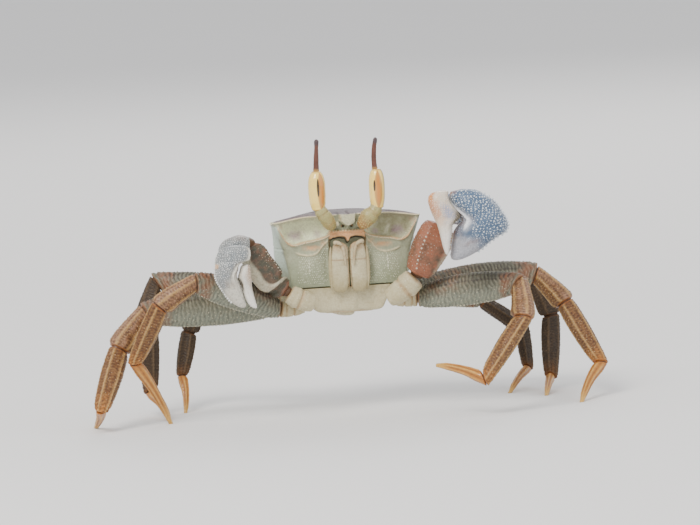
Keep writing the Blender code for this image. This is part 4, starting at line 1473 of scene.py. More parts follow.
@dataclass
class MouthPart:
    """One third maxilliped: its two plates, the palp folded over them, the slim outer branch and a fringe."""

    side: Side
    plates: tuple[Row, ...] = (
        (2.5, -10.9, 32.6, 3.0, 1.3), (2.45, -11.6, 34.6, 4.2, 1.7), (2.4, -12.0, 38.8, 4.4, 1.8),
        (2.32, -12.25, 42.2, 4.2, 1.7), (2.25, -12.35, 44.6, 3.5, 1.4), (2.2, -12.3, 45.6, 2.3, 1.0),
    )
    palp: tuple[RoundRow, ...] = (
        (3.6, -12.7, 45.3, 0.9), (3.5, -13.3, 45.7, 1.25), (2.6, -13.6, 45.5, 1.2), (1.9, -13.6, 44.9, 0.95),
        (1.5, -13.55, 43.8, 1.05), (1.25, -13.45, 42.2, 0.85), (1.15, -13.35, 40.9, 0.7),
        (1.1, -13.25, 39.4, 0.35),
    )
    branch: tuple[RoundRow, ...] = (
        (4.55, -10.9, 33.4, 0.8), (4.8, -11.7, 36.4, 1.1), (4.85, -12.0, 40.4, 1.0), (4.7, -12.2, 43.6, 0.55),
        (4.6, -12.2, 44.6, 0.25),
    )
    front: float = 0.25
    suture: float = 0.655
    palp_joints: tuple[float, float] = (0.34, 0.68)
    fringe: int = 34

    def relief(self, turn: float, at: float, run: float) -> float:
        """The suture across, a groove along, and a raised inner margin."""
        sign = self.side.value
        across = -0.34 * hump(at + 0.02 * math.cos(2 * math.pi * (turn - self.front)), self.suture, 0.018)
        along = -0.30 * stripe(turn, self.front + 0.055 * sign, 0.028) * smooth(0.64, 0.58, at)
        along -= 0.16 * stripe(turn, self.front - 0.10 * sign, 0.024) * smooth(0.05, 0.12, at)
        return (across + along) * stripe(turn, self.front, 0.25) + 0.05 * hump(at, self.suture + 0.05, 0.05)

    def paint(self, turn: float, at: float) -> dict[Dye, float]:
        """Cream plates, browner at the top and along the grooves."""
        groove = stripe(turn, self.front + 0.055 * self.side.value, 0.04)
        return {Dye.JOINT: min(1.0, 0.55 * (hump(at, self.suture, 0.03) + 0.6 * groove)),
                Dye.MOUTH: 0.75 * smooth(0.72, 1.0, at), Dye.LOWER: smooth(0.5, 0.0, at),
                Dye.PIT: 0.5 * hump(at, self.suture, 0.012)}

    def palp_joint(self, at: float, reach: float) -> float:
        """1 at a joint of the palp."""
        return sum(hump(at, joint, reach) for joint in self.palp_joints)

    def build(self) -> None:
        """Makes the piece."""
        shell, sign = ShellMesh(), self.side.value
        plate = Tube(stations_of(self.plates, BODY_SHIFT, sign), Vector((1, 0, 0)), 2.7, cap_start=0.8,
                     cap_end=0.9, relief=self.relief, rough=0.05)
        plate.grow(shell, 56, 110, self.paint, (0.0, 0.5))
        palp = Tube(stations_of(self.palp, BODY_SHIFT, sign, 0.8), Vector((0, -1, 0)), 2.1, cap_start=0.3,
                    cap_end=0.4, relief=lambda turn, at, run: -0.10 * self.palp_joint(at, 0.03))
        palp.grow(shell, 20, 60, lambda turn, at: {Dye.MOUTH: 0.35 + 0.4 * self.palp_joint(at, 0.06)},
                  (0.52, 0.66))
        branch = Tube(stations_of(self.branch, BODY_SHIFT, sign), Vector((0, -1, 0)), 2.1, cap_start=0.4,
                      cap_end=0.3)
        branch.grow(shell, 16, 40, lambda turn, at: {Dye.LOWER: 0.6, Dye.JOINT: 0.3 * at}, (0.68, 0.8))
        self.hairs(shell)
        shell.store(f"maxilliped_{self.side.word}", BREAST_SHELL)

    def hairs(self, shell: ShellMesh) -> None:
        """The short fringe down the inner margin."""
        sign = self.side.value
        for index in range(self.fringe):
            root = Vector((sign * 0.42, -12.35 - 0.2 * scatter(index), 34.2 + index * 0.31)) + BODY_SHIFT
            end = root + Vector((-sign * 0.25, -0.35 - 0.2 * scatter(index + 50.0), -0.55))
            middle = root.lerp(end, 0.5) + Vector((0, -0.08, 0))
            hair = Tube([(root, 0.13, 0.13), (middle, 0.10, 0.10), (end, 0.04, 0.04)], Vector((1, 0, 0)), 2.0,
                        cap_start=0.02, cap_end=0.02)
            hair.grow(shell, 5, 4, lambda turn, at: {Dye.MOUTH: 0.9}, (0.81, 0.85))


Spine = tuple[tuple[float, float, float], ...]


@dataclass
class Eye:
    """One eye: the warty stalk, the tall cornea with its painted dark pseudopupil, and the horn above it.

    The cornea and the horn are rows of (x, height, width).
    """

    side: Side
    stalk: tuple[RoundRow, ...]
    cornea: Spine
    horn: Spine
    pseudopupil_turn: float
    pseudopupil_span: tuple[float, float]
    stripe_turn: float
    warty: float = 0.0
    depth: float = -15.0
    facing: Vector = field(default_factory=lambda: Vector((0, -1, 0)))

    def build(self) -> None:
        """Makes stalk, cornea and horn."""
        self.build_stalk()
        self.build_cornea()
        self.build_horn()

    def column(self, rows: Spine, flat: float = 1.0) -> list[Station]:
        """Rows as the stations of an upright tube."""
        return [(Vector((x, self.depth, z)), wide, wide * flat) for x, z, wide in rows]

    def build_stalk(self) -> None:
        """The stalk, warty at its foot, running up behind the inner side of the cornea."""
        shell = ShellMesh()
        tube = Tube(stations_of(self.stalk, flat=0.96), self.facing, 2.1, cap_start=0.6, cap_end=0.7,
                    rough=0.12,
                    relief=lambda turn, at, run: -0.12 * hump(at, 0.60, 0.05) + 0.08 * hump(at, 0.68, 0.06))
        foot = 0.35 + 0.6 * self.warty
        tube.grow(shell, 56, 80, lambda turn, at: {
            Dye.JOINT: min(1.0, foot * smooth(0.50, 0.20, at) + 0.25 * hump(at, 0.62, 0.08)),
            Dye.RIM: 0.5 * smooth(0.35, 0.75, at)})
        set_field(shell, tube, 0.0, 0.5, (0.12, 0.60), 0.50 + 0.1 * self.warty, 0.15 + 0.11 * self.warty,
                  {Dye.GRAIN: 0.8, Dye.JOINT: 0.35 * self.warty},
                  lambda turn, at: 0.5 + 0.5 * smooth(0.6, 0.2, at), 0.75, sides=6)
        shell.store(f"eyestalk_{self.side.word}", STALK_SHELL)

    def build_cornea(self) -> None:
        """The tall glossy cornea, stripe and painted pseudopupil facing forward."""
        shell = ShellMesh()
        tube = Tube(self.column(self.cornea, 0.98), self.facing, 2.0, cap_start=0.4, cap_end=0.4,
                    relief=lambda turn, at, run: 0.10 * hump(at, 0.05, 0.05) - 0.07 * hump(at, 0.95, 0.03))
        tube.grow(shell, 160, 110, self.paint_cornea)
        shell.store(f"eye_{self.side.word}", EYE_GLASS)

    def paint_cornea(self, turn: float, at: float) -> dict[Dye, float]:
        """The orange stripe down the front, the painted pseudopupil in it, painted shade in olive on the far
        side and the brown rims.
        """
        away, toward = turn_gap(turn, self.stripe_turn), (turn - self.stripe_turn) % 1.0
        taper = math.sqrt(max(0.0, math.sin(math.pi * min(1.0, max(0.0, (at - 0.03) / 0.92)))))
        low, high = self.pseudopupil_span
        swell = math.sqrt(max(0.0, 1.0 - ((at - (low + high) / 2) / ((high - low) / 2)) ** 2))
        # The dark spindle is the painted pseudopupil, the dark spot that the facets show toward the viewer.
        slit = smooth(0.020 * swell + 0.006, 0.020 * swell - 0.002, turn_gap(turn, self.pseudopupil_turn))
        return {
            Dye.STRIPE: smooth(0.092 * taper + 0.012, 0.078 * taper - 0.012, away),
            Dye.BAND: smooth(0.062 * taper, 0.01, away) * plateau(at, 0.05, 0.30, 0.7, 0.98),
            # Painted shade in olive over the far side of the cornea.
            Dye.SLIT: slit if swell > 0.0 else 0.0, Dye.SHADE: plateau(toward, 0.085, 0.17, 0.42, 0.60),
            Dye.JOINT: max(smooth(0.07, 0.02, at), smooth(0.93, 0.98, at)),
        }

    def build_horn(self) -> None:
        """The horn, ridged along its length and knobbed at its tip."""
        shell = ShellMesh()
        tube = Tube(self.column(self.horn), self.facing, 2.0, cap_start=0.2, cap_end=0.3, rough=0.05,
                    relief=lambda turn, at, run: 0.03 * math.cos(12 * math.pi * turn) * hump(at, 0.45, 0.45))
        tube.grow(shell, 32, 72, lambda turn, at: {
            Dye.TIP: smooth(0.76, 0.86, at), Dye.JOINT: smooth(0.10, 0.02, at)})
        shell.store(f"stylet_{self.side.word}", HORN)


EYES = (
    Eye(Side.RIGHT,
        stalk=((-3.6, -13.0, 49.0, 2.2), (-4.2, -13.7, 49.7, 3.1), (-4.7, -14.1, 50.5, 3.6),
               (-5.3, -14.6, 51.6, 3.7), (-6.1, -14.9, 52.6, 3.6), (-6.7, -15.0, 53.7, 3.3),
               (-7.0, -14.7, 54.9, 2.9), (-7.1, -14.5, 56.0, 2.0)),
        cornea=((-7.3, 53.5, 1.6), (-7.31, 53.9, 2.8), (-7.32, 54.5, 3.5), (-7.36, 56.0, 4.3),
                (-7.42, 59.0, 4.6), (-7.4, 61.5, 4.3), (-7.36, 63.2, 3.2), (-7.35, 64.1, 1.9)),
        horn=((-7.35, 63.9, 1.75), (-7.33, 64.4, 1.5), (-7.2, 67.0, 1.35), (-7.0, 70.0, 1.05),
              (-6.93, 71.2, 1.24), (-6.9, 71.7, 1.1), (-6.88, 72.15, 0.5)),
        pseudopupil_turn=0.004, pseudopupil_span=(0.37, 0.81), stripe_turn=0.075),
    Eye(Side.LEFT,
        stalk=((3.4, -13.0, 49.0, 2.2), (4.1, -13.7, 49.6, 3.2), (4.7, -14.1, 50.2, 3.9),
               (5.6, -14.6, 51.3, 4.5), (6.6, -14.9, 52.2, 4.1), (7.5, -15.0, 53.3, 3.4),
               (7.8, -14.7, 54.6, 2.9), (7.95, -14.5, 55.7, 2.0)),
        cornea=((8.05, 53.2, 1.6), (8.05, 53.6, 2.7), (8.06, 54.2, 3.3), (8.08, 55.7, 4.0),
                (8.12, 58.7, 4.25), (8.15, 61.2, 4.0), (8.18, 62.9, 3.1), (8.2, 63.8, 1.9)),
        horn=((7.86, 63.6, 1.7), (7.78, 64.2, 1.4), (7.72, 66.7, 1.3), (7.95, 69.3, 1.2),
              (8.28, 70.9, 1.12), (8.38, 71.4, 0.95), (8.45, 71.75, 0.5)),
        pseudopupil_turn=-0.068, pseudopupil_span=(0.45, 0.72), stripe_turn=0.012, warty=1.0),
)

ACROSS = Vector((0.996, -0.117, -0.047))
DOWN = Vector((0.041, -0.095, -0.994))
MERUS_WRINKLE = 0.95


@dataclass
class ClawArm:
    """The base, merus and carpus that carry a claw.

    `face` is the turn of the merus that looks forward, and `ruddy` how red its edge is. A carpus that is
    `stacked` hides the wrist behind it.
    """

    side: Side
    base: Sequence[Row]
    merus: Sequence[Row]
    carpus: Sequence[Row]
    merus_tall: Vector
    carpus_tall: Vector
    base_tall: Vector
    grain: float
    face: float
    ruddy: float
    carpus_finish: Finish
    carpus_stacked: Optional[Vector] = None

    def build(self) -> None:
        """Makes the three segments."""
        self.build_base()
        self.build_merus()
        self.build_carpus()

    def build_base(self) -> None:
        """The cream base segments, with the seam between ischium and coxa."""
        shell = ShellMesh()
        tube = Tube(stations_of(self.base), self.base_tall, 2.2, cap_start=0.6, cap_end=0.7, rough=0.12,
                    relief=lambda turn, at, run: -0.32 * hump(at, 0.55, 0.05) + 0.15 * hump(at, 0.68, 0.09))
        tube.grow(shell, 48, 64, lambda turn, at: {
            Dye.JOINT: 0.7 * hump(at, 0.55, 0.09) + 0.9 * smooth(0.9, 1.0, at), Dye.LOWER: 0.3})
        set_field(shell, tube, 0.0, 0.5, (0.3, 0.9), 0.95, 0.2, {Dye.GRAIN: 0.7},
                  uneven(91.0, 37.0, 0.35, 0.95), 0.6, sides=6)
        shell.store(f"claw_{self.side.word}_base", BREAST_SHELL)

    @staticmethod
    def wrinkle(turn: float, run: float) -> float:
        """0 on the crest of a cross wrinkle, rising to 1 between two."""
        return abs(math.sin(run * math.pi / MERUS_WRINKLE + 1.6 * math.sin(turn * 4 * math.pi)))

    def build_merus(self) -> None:
        """The dark merus: beaded edges, cross wrinkles, red ends."""
        shell = ShellMesh()
        lean = 1.0 if self.face > 0.5 else -1.0
        front_edge, row_edge = self.face + 0.11 * lean, self.face + 0.10 * lean

        def relief(turn: float, at: float, run: float) -> float:
            """Cross wrinkles over the back, a keel on the front edge and a thin collar at either end."""
            calm = plateau(at, 0.0, 0.12, 0.88, 1.0) * smooth(0.10, 0.2, turn_gap(turn, self.face - 0.06))
            keels = 0.22 * stripe(turn, row_edge, 0.04) + 0.2 * stripe(turn, 0.5, 0.06)
            collars = 0.16 * hump(at, 0.07, 0.02) + 0.20 * hump(at, 0.93, 0.02)
            return 0.08 * (1.0 - self.wrinkle(turn, run)) * calm + keels - collars

        tube = Tube(stations_of(self.merus), self.merus_tall, 2.6, cap_start=0.9, cap_end=1.1, rough=0.18,
                    relief=relief)

        def paint(turn: float, at: float) -> dict[Dye, float]:
            """Olive face, red-brown edge and ends, a cream band along the under edge."""
            ends = max(smooth(0.09, 0.02, at), smooth(0.93, 0.99, at))
            crest = smooth(0.25, 0.0, self.wrinkle(turn, at * tube.length))
            near_edge = smooth(0.26, 0.08, turn_gap(turn, front_edge))
            red = near_edge * (0.25 + 0.75 * smooth(0.55, 0.85, at) + 0.8 * smooth(0.30, 0.10, at))
            under = smooth(0.115, 0.075, turn_gap(turn, 0.5 + 0.05 * lean))
            return {Dye.JOINT: 0.8 * ends, Dye.RIDGE: 0.3 * crest * (1.0 - ends) * near_edge,
                    Dye.BAND: min(1.0, self.ruddy * (red + 0.45)),
                    Dye.LOWER: under * smooth(0.02, 0.12, at) * (0.35 + 0.65 * smooth(0.0, 0.3, at))}

        tube.grow(shell, 96, 130, paint)
        set_row(shell, tube, row_edge, (0.10, 0.80), 0.95, self.grain * 1.25, {Dye.GRAIN: 1.0}, 0.9, 0.45)
        for edge in (0.0, 0.5):
            set_row(shell, tube, edge, (0.10, 0.92), 0.62, self.grain * 0.7, {Dye.GRAIN: 0.5}, 0.9, 0.5)
        set_field(shell, tube, front_edge, 0.14, (0.12, 0.9), 0.85, self.grain * 0.62, {Dye.GRAIN: 0.65},
                  thinned(71.0, 53.0, 0.9, 0.45), 0.6, sides=6)
        elbow = Vector(self.base[-1][:3])
        joint_plug(shell, (tube.centre(0.06), tube.centre(0.0), elbow), self.merus_tall, 3.4, 3.0)
        wrist = Vector(self.carpus[2 if self.carpus_stacked else 0][:3])
        joint_plug(shell, (tube.centre(0.94), tube.centre(1.0), wrist), self.merus_tall, 3.2, 2.8)
        shell.store(f"claw_{self.side.word}_merus", ARM_SHELL)

    def build_carpus(self) -> None:
        """The domed carpus with its granules and the wrist collar."""
        shell = ShellMesh()
        tube = Tube(stations_of(self.carpus), self.carpus_tall, 2.3, cap_start=1.2, cap_end=1.0, rough=0.18,
                    relief=lambda turn, at, run: -0.26 * hump(at, 0.86, 0.035), stacked=self.carpus_stacked)
        tube.grow(shell, 72, 90, lambda turn, at: {
            Dye.JOINT: 0.0 if self.carpus_stacked else 0.7 * smooth(0.86, 0.96, at),
            Dye.BAND: 0.6 * smooth(0.45, 0.0, at)})
        set_field(shell, tube, 0.0, 0.5, (0.06, 0.90), self.grain * 3.1, self.grain * 1.05, {Dye.GRAIN: 0.95},
                  uneven(61.0, 43.0, 0.6, 1.0), 0.7)
        set_field(shell, tube, 0.0, 0.5, (0.06, 0.90), self.grain * 2.3, self.grain * 0.45, {Dye.GRAIN: 0.8},
                  thinned(31.0, 83.0, 1.0, 0.3), 0.7, sides=5)
        shell.store(f"claw_{self.side.word}_carpus", self.carpus_finish)


@dataclass
class Pincer:
    """The palm with its fixed finger, and the movable finger.

    The turns say where the outer face, the gape, the lower edge and the wrist lie round the palm, and
    `finger_gape` where the gape lies round the finger. `palm_end` is the fraction where the finger starts.
    """

    side: Side
    palm: Sequence[Row]
    finger: Sequence[Row]
    finish: Finish
    finger_finish: Finish
    grain: float
    grain_gap: float
    teeth: float
    palm_end: float
    gape_turn: float
    edge_turn: float
    finger_gape: float
    ruddy: float
    wrist_turn: float = 0.5
    wrist_at: float = 0.02
    wrist_reach: float = 0.2
    outer: float = 0.25
    around: int = 120
    rows: int = 180

    def build(self) -> None:
        """Makes palm and finger."""
        self.build_palm()
        self.build_finger()

    def palm_relief(self, turn: float, at: float, run: float) -> float:
        """The keel along the lower edge, the long ridge of the face and a groove beside it."""
        keel = 0.35 * stripe(turn, self.edge_turn, 0.035) * plateau(at, 0.06, 0.2, 0.86, 1.0)
        line = turn_gap(turn, self.ridge_turn(at))
        ridge = 0.42 * hump(line, 0.0, 0.022) * plateau(at, 0.03, 0.10, 0.62, 0.80)
        return keel + ridge - 0.26 * hump(line, 0.035, 0.028) * plateau(at, 0.10, 0.22, 0.62, 0.80)

    def ridge_turn(self, at: float) -> float:
        """Where the smooth ridge runs round the palm."""
        toward = (self.gape_turn - self.outer) % 1.0
        toward = toward - 1.0 if toward > 0.5 else toward
        return (self.outer + toward * (0.86 - 0.50 * smooth(0.10, 0.60, at))) % 1.0

    def grain_size(self, turn: float, at: float) -> float:
        """How large the granules are over the palm: clear of the ridge, fine toward the finger."""
        if turn_gap(turn, self.ridge_turn(at)) < 0.032 and 0.02 < at < 0.75:
            return 0.0
        toward = math.cos(2 * math.pi * (turn - self.gape_turn))
        fade = 0.30 + 0.70 * smooth(self.palm_end + 0.16, self.palm_end - 0.12, at + 0.16 * toward)
        return fade * (0.78 + 0.3 * scatter(turn * 83.0 + at * 29.0))

    def paint_palm(self, turn: float, at: float) -> dict[Dye, float]:
        """Pale finger and ridge, warm wrist, paler inner face, painted shade in the gape and low on the outer
        face.
        """
        end, toward = self.palm_end, math.cos(2 * math.pi * (turn - self.gape_turn))
        pale = smooth(end, end + 0.16, at + 0.14 * toward)
        beside = turn_gap(turn, self.ridge_turn(at))
        line = ((hump(beside, 0.0, 0.030) + 0.32 * hump(beside, 0.0, 0.09))
                * plateau(at, 0.02, 0.06, 0.46, 0.60))
        wrist = stripe(turn, self.wrist_turn, self.wrist_reach) * hump(at, self.wrist_at, 0.07)
        # Painted shade: in the gape, and a patch low on the outer face where the granules stop.
        gape_shade = stripe(turn, self.gape_turn, 0.10) * smooth(0.25, 0.45, at) * (1.0 - 0.6 * pale)
        blotch = 0.55 * stripe(turn, self.outer, 0.11) * hump(at, end + 0.11, 0.10)
        warm = stripe(turn, self.gape_turn, 0.22) * plateau(at, 0.18, 0.40, end - 0.1, end + 0.1)
        return {
            Dye.TIP: pale, Dye.RIM: min(1.0, line + 0.5 * stripe(turn, self.edge_turn, 0.03)),
            Dye.JOINT: min(1.0, 1.7 * wrist), Dye.LOWER: 0.8 * stripe(turn, self.outer + 0.5, 0.3),
            Dye.BAND: self.ruddy * warm, Dye.SHADE: max(gape_shade, blotch),
        }

    def build_palm(self) -> None:
        """The palm: granules over the face, a toothed edge, a pale finger with teeth in the gape."""
        shell = ShellMesh()
        tube = Tube(stations_of(self.palm), ACROSS, 2.25, cap_start=0.5, cap_end=0.5, rough=0.14,
                    relief=self.palm_relief, stacked=DOWN)
        tube.grow(shell, self.around, self.rows, self.paint_palm)
        set_field(shell, tube, self.outer, 0.29, (0.01, 0.93), self.grain_gap, self.grain * 0.9,
                  {Dye.GRAIN: 0.95}, self.grain_size, 0.75)
        sparse = thinned(47.0, 61.0, 1.2, 0.25)
        set_field(shell, tube, self.outer, 0.29, (0.02, 0.80), self.grain_gap * 0.66, self.grain * 0.42,
                  {Dye.GRAIN: 0.8}, lambda turn, at: self.grain_size(turn, at) * sparse(turn, at), 0.75,
                  sides=5)
        set_field(shell, tube, (self.outer + 0.5) % 1.0, 0.2, (0.12, self.palm_end), self.grain_gap * 1.35,
                  self.grain * 0.75, {Dye.GRAIN: 0.7}, uneven(31.0, 13.0, 0.6, 1.0), 0.55, sides=6)
        set_row(shell, tube, self.edge_turn, (0.08, 0.90), self.grain * 3.0, self.grain * 1.55,
                {Dye.GRAIN: 1.0}, 1.35, 0.2, 8)
        set_row(shell, tube, self.gape_turn, (self.palm_end + 0.02, 0.97), self.teeth * 1.9, self.teeth,
                {Dye.TIP: 1.0, Dye.GRAIN: 0.6}, 1.1, 0.45, 8)
        shell.store(f"claw_{self.side.word}_palm", self.finish)

    @property
    def hollow_turn(self) -> float:
        """Where the hollow by the gape lies round the finger."""
        return self.finger_gape + (0.07 if self.finger_gape < 0.25 else -0.07)

    @property
    def back_turn(self) -> float:
        """The side of the finger that looks away from the gape."""
        return (self.finger_gape + 0.5) % 1.0

    def finger_relief(self, turn: float, at: float, run: float) -> float:
        """A long groove down each face and a hollow by the gape."""
        grooves = stripe(turn, 0.25, 0.035) + stripe(turn, 0.75, 0.035)
        return (-0.15 * grooves * hump(at, 0.62, 0.34)
                - 0.5 * stripe(turn, self.hollow_turn, 0.10) * hump(at, 0.42, 0.15))

    def paint_finger(self, turn: float, at: float) -> dict[Dye, float]:
        """Orange at the hinge, ruddy along the back, a violet face, painted shade in the hollow, the groove
        and the hinge pit, and a pale tip.
        """
        back = turn_gap(turn, self.back_turn)
        hinge_pit = self.back_turn + (0.13 if self.back_turn < 0.25 else -0.13)
        # Painted shade in the hollow by the gape, in the groove down the face and in the pit at the hinge.
        hollow = 1.5 * stripe(turn, self.hollow_turn, 0.13) * hump(at, 0.47, 0.15)
        groove = 0.6 * stripe(turn, 0.25, 0.018) * smooth(0.55, 0.7, at)
        return {
            Dye.JOINT: min(1.0, 1.6 * hump(at, 0.09, 0.10)) * smooth(0.18, 0.12, back),
            Dye.BAND: plateau(at, 0.08, 0.16, 0.26, 0.66) * smooth(0.27, 0.12, back),
            Dye.VIOLET: hump(at, 0.38, 0.24) * stripe(turn, 0.21, 0.13), Dye.TIP: smooth(0.50, 0.75, at),
            Dye.SHADE: max(min(1.0, hollow), groove,
                           0.8 * stripe(turn, hinge_pit, 0.05) * hump(at, 0.12, 0.05)),
        }

    def build_finger(self) -> None:
        """The movable finger: granules at its root, smooth at the tip, teeth along the gape."""
        shell = ShellMesh()
        tube = Tube(stations_of(self.finger), ACROSS, 2.2, cap_start=0.5, cap_end=0.3, rough=0.10,
                    relief=self.finger_relief, stacked=DOWN)
        tube.grow(shell, 72, 120, self.paint_finger)
        set_field(shell, tube, self.back_turn, 0.40, (0.03, 0.60), self.grain * 2.3, self.grain * 0.72,
                  {Dye.GRAIN: 0.9}, lambda turn, at: 0.5 + 0.5 * smooth(0.60, 0.2, at), 0.7, sides=6)
        set_row(shell, tube, self.finger_gape, (0.50, 0.95), self.teeth * 1.9, self.teeth * 0.8,
                {Dye.TIP: 1.0}, 1.1, 0.45)
        shell.store(f"claw_{self.side.word}_finger", self.finger_finish)


class Segment(str, Enum):
    """The parts of a walking leg from the body outwards, named as the solids are."""

    BASE = "base"
    MERUS = "merus"
    CARPUS = "carpus"
    PROPODUS = "propodus"
    DACTYL = "dactyl"

    @property
    def bone(self) -> int:
        """Its place along the leg."""
        return list(Segment).index(self)


@dataclass(frozen=True)
class Profile:
    """How a segment swells: rows of (fraction along, height, thickness), its thickness and its bow."""

    rows: tuple[tuple[float, float, float], ...]
    thickness: float
    bow: float = 0.0
    power: float = 2.35
    cap_end: float = 0.32


PROFILES = {
    Segment.BASE: Profile(((0.0, 0.80, 0.95), (0.35, 0.95, 1.0), (0.75, 0.90, 0.95), (1.0, 0.80, 0.85)),
                          0.78),
    Segment.MERUS: Profile(((0.0, 0.56, 0.80), (0.14, 0.80, 0.95), (0.42, 1.0, 1.0), (0.72, 0.94, 1.0),
                            (0.90, 0.76, 0.95), (1.0, 0.64, 0.85)), 0.46, 0.4),
    Segment.CARPUS: Profile(((0.0, 0.74, 0.80), (0.22, 0.78, 0.95), (0.60, 0.92, 1.0), (0.88, 1.0, 1.0),
                             (1.0, 0.84, 0.90)), 0.66, 0.3),
    Segment.PROPODUS: Profile(((0.0, 0.90, 0.92), (0.16, 0.98, 1.0), (0.45, 1.0, 1.0), (0.80, 0.84, 0.90),
                               (1.0, 0.66, 0.80)), 0.60),
    Segment.DACTYL: Profile(((0.0, 0.86, 0.90), (0.12, 0.92, 0.94), (0.40, 0.70, 0.80), (0.75, 0.50, 0.60),
                             (1.0, 0.30, 0.40)), 0.72, 0.7, 2.0, 0.2),
}


@dataclass(frozen=True)
class ShortSegment:
    """What differs between the carpus and the propodus.

    The skin in the joint beyond is as high as the smaller of two shares, of this segment's height and of the
    next one's.
    """

    segment: Segment
    around: int
    rows: int
    own_share: float
    next_share: float
    skin_thick: float
    left_out: float
    upper: float
    tip: float


SHORT_SEGMENTS = (
    ShortSegment(Segment.CARPUS, 56, 84, 0.84, 0.90, 0.5, 0.35, 0.75, 0.0),
    ShortSegment(Segment.PROPODUS, 60, 110, 0.66, 0.86, 0.62, 0.62, 0.0, 0.9),
)


@dataclass(frozen=True)
class LegPair:
    """What the two legs of a pair share: where they root, their segments' heights and their finish."""

    root: tuple[float, float]
    heights: tuple[float, float, float, float]
    finish: Finish


LEG_PAIRS = {
    2: LegPair((11.6, -8.6), (7.8, 6.0, 5.3, 3.3), LEG_OUTER),
    3: LegPair((11.8, -1.6), (9.0, 6.4, 5.3, 3.2), LEG_OUTER),
    4: LegPair((11.4, 5.4), (8.0, 6.0, 5.1, 3.1), LEG_OUTER_REAR_DARK_AND_SHADED),
    5: LegPair((9.2, 11.6), (5.8, 4.8, 4.3, 2.8), LEG_OUTER_REAR_DARK_AND_SHADED),
}
BASE_SHARE = 0.66
KEELS = (0.0, 0.16, 0.34, 0.5, 0.66, 0.84)
FLUTES = 6
MERUS_FOLD, SHORT_FOLD, RIB_GAP, DASH_GAP = 1.05, 0.8, 0.98, 0.62


def scale_fold(turn: float, run: float, gap: float) -> float:
    """How high a point stands on the overlapping cross wrinkles, 0 to 1."""
    wave = run / gap + 0.35 * math.sin(turn * 6 * math.pi) + 0.22 * math.sin(turn * 14 * math.pi + run * 0.9)
    part = wave - math.floor(wave)
    return part ** 1.6 * smooth(1.0, 0.86, part)


def long_keel(turn: float, beside: float = 0.0, reach: float = 0.030) -> float:
    """1 on the long keels of a short segment, or in lines beside them."""
    return max(stripe(turn, keel + shift, reach) for keel in KEELS for shift in (-beside, beside))


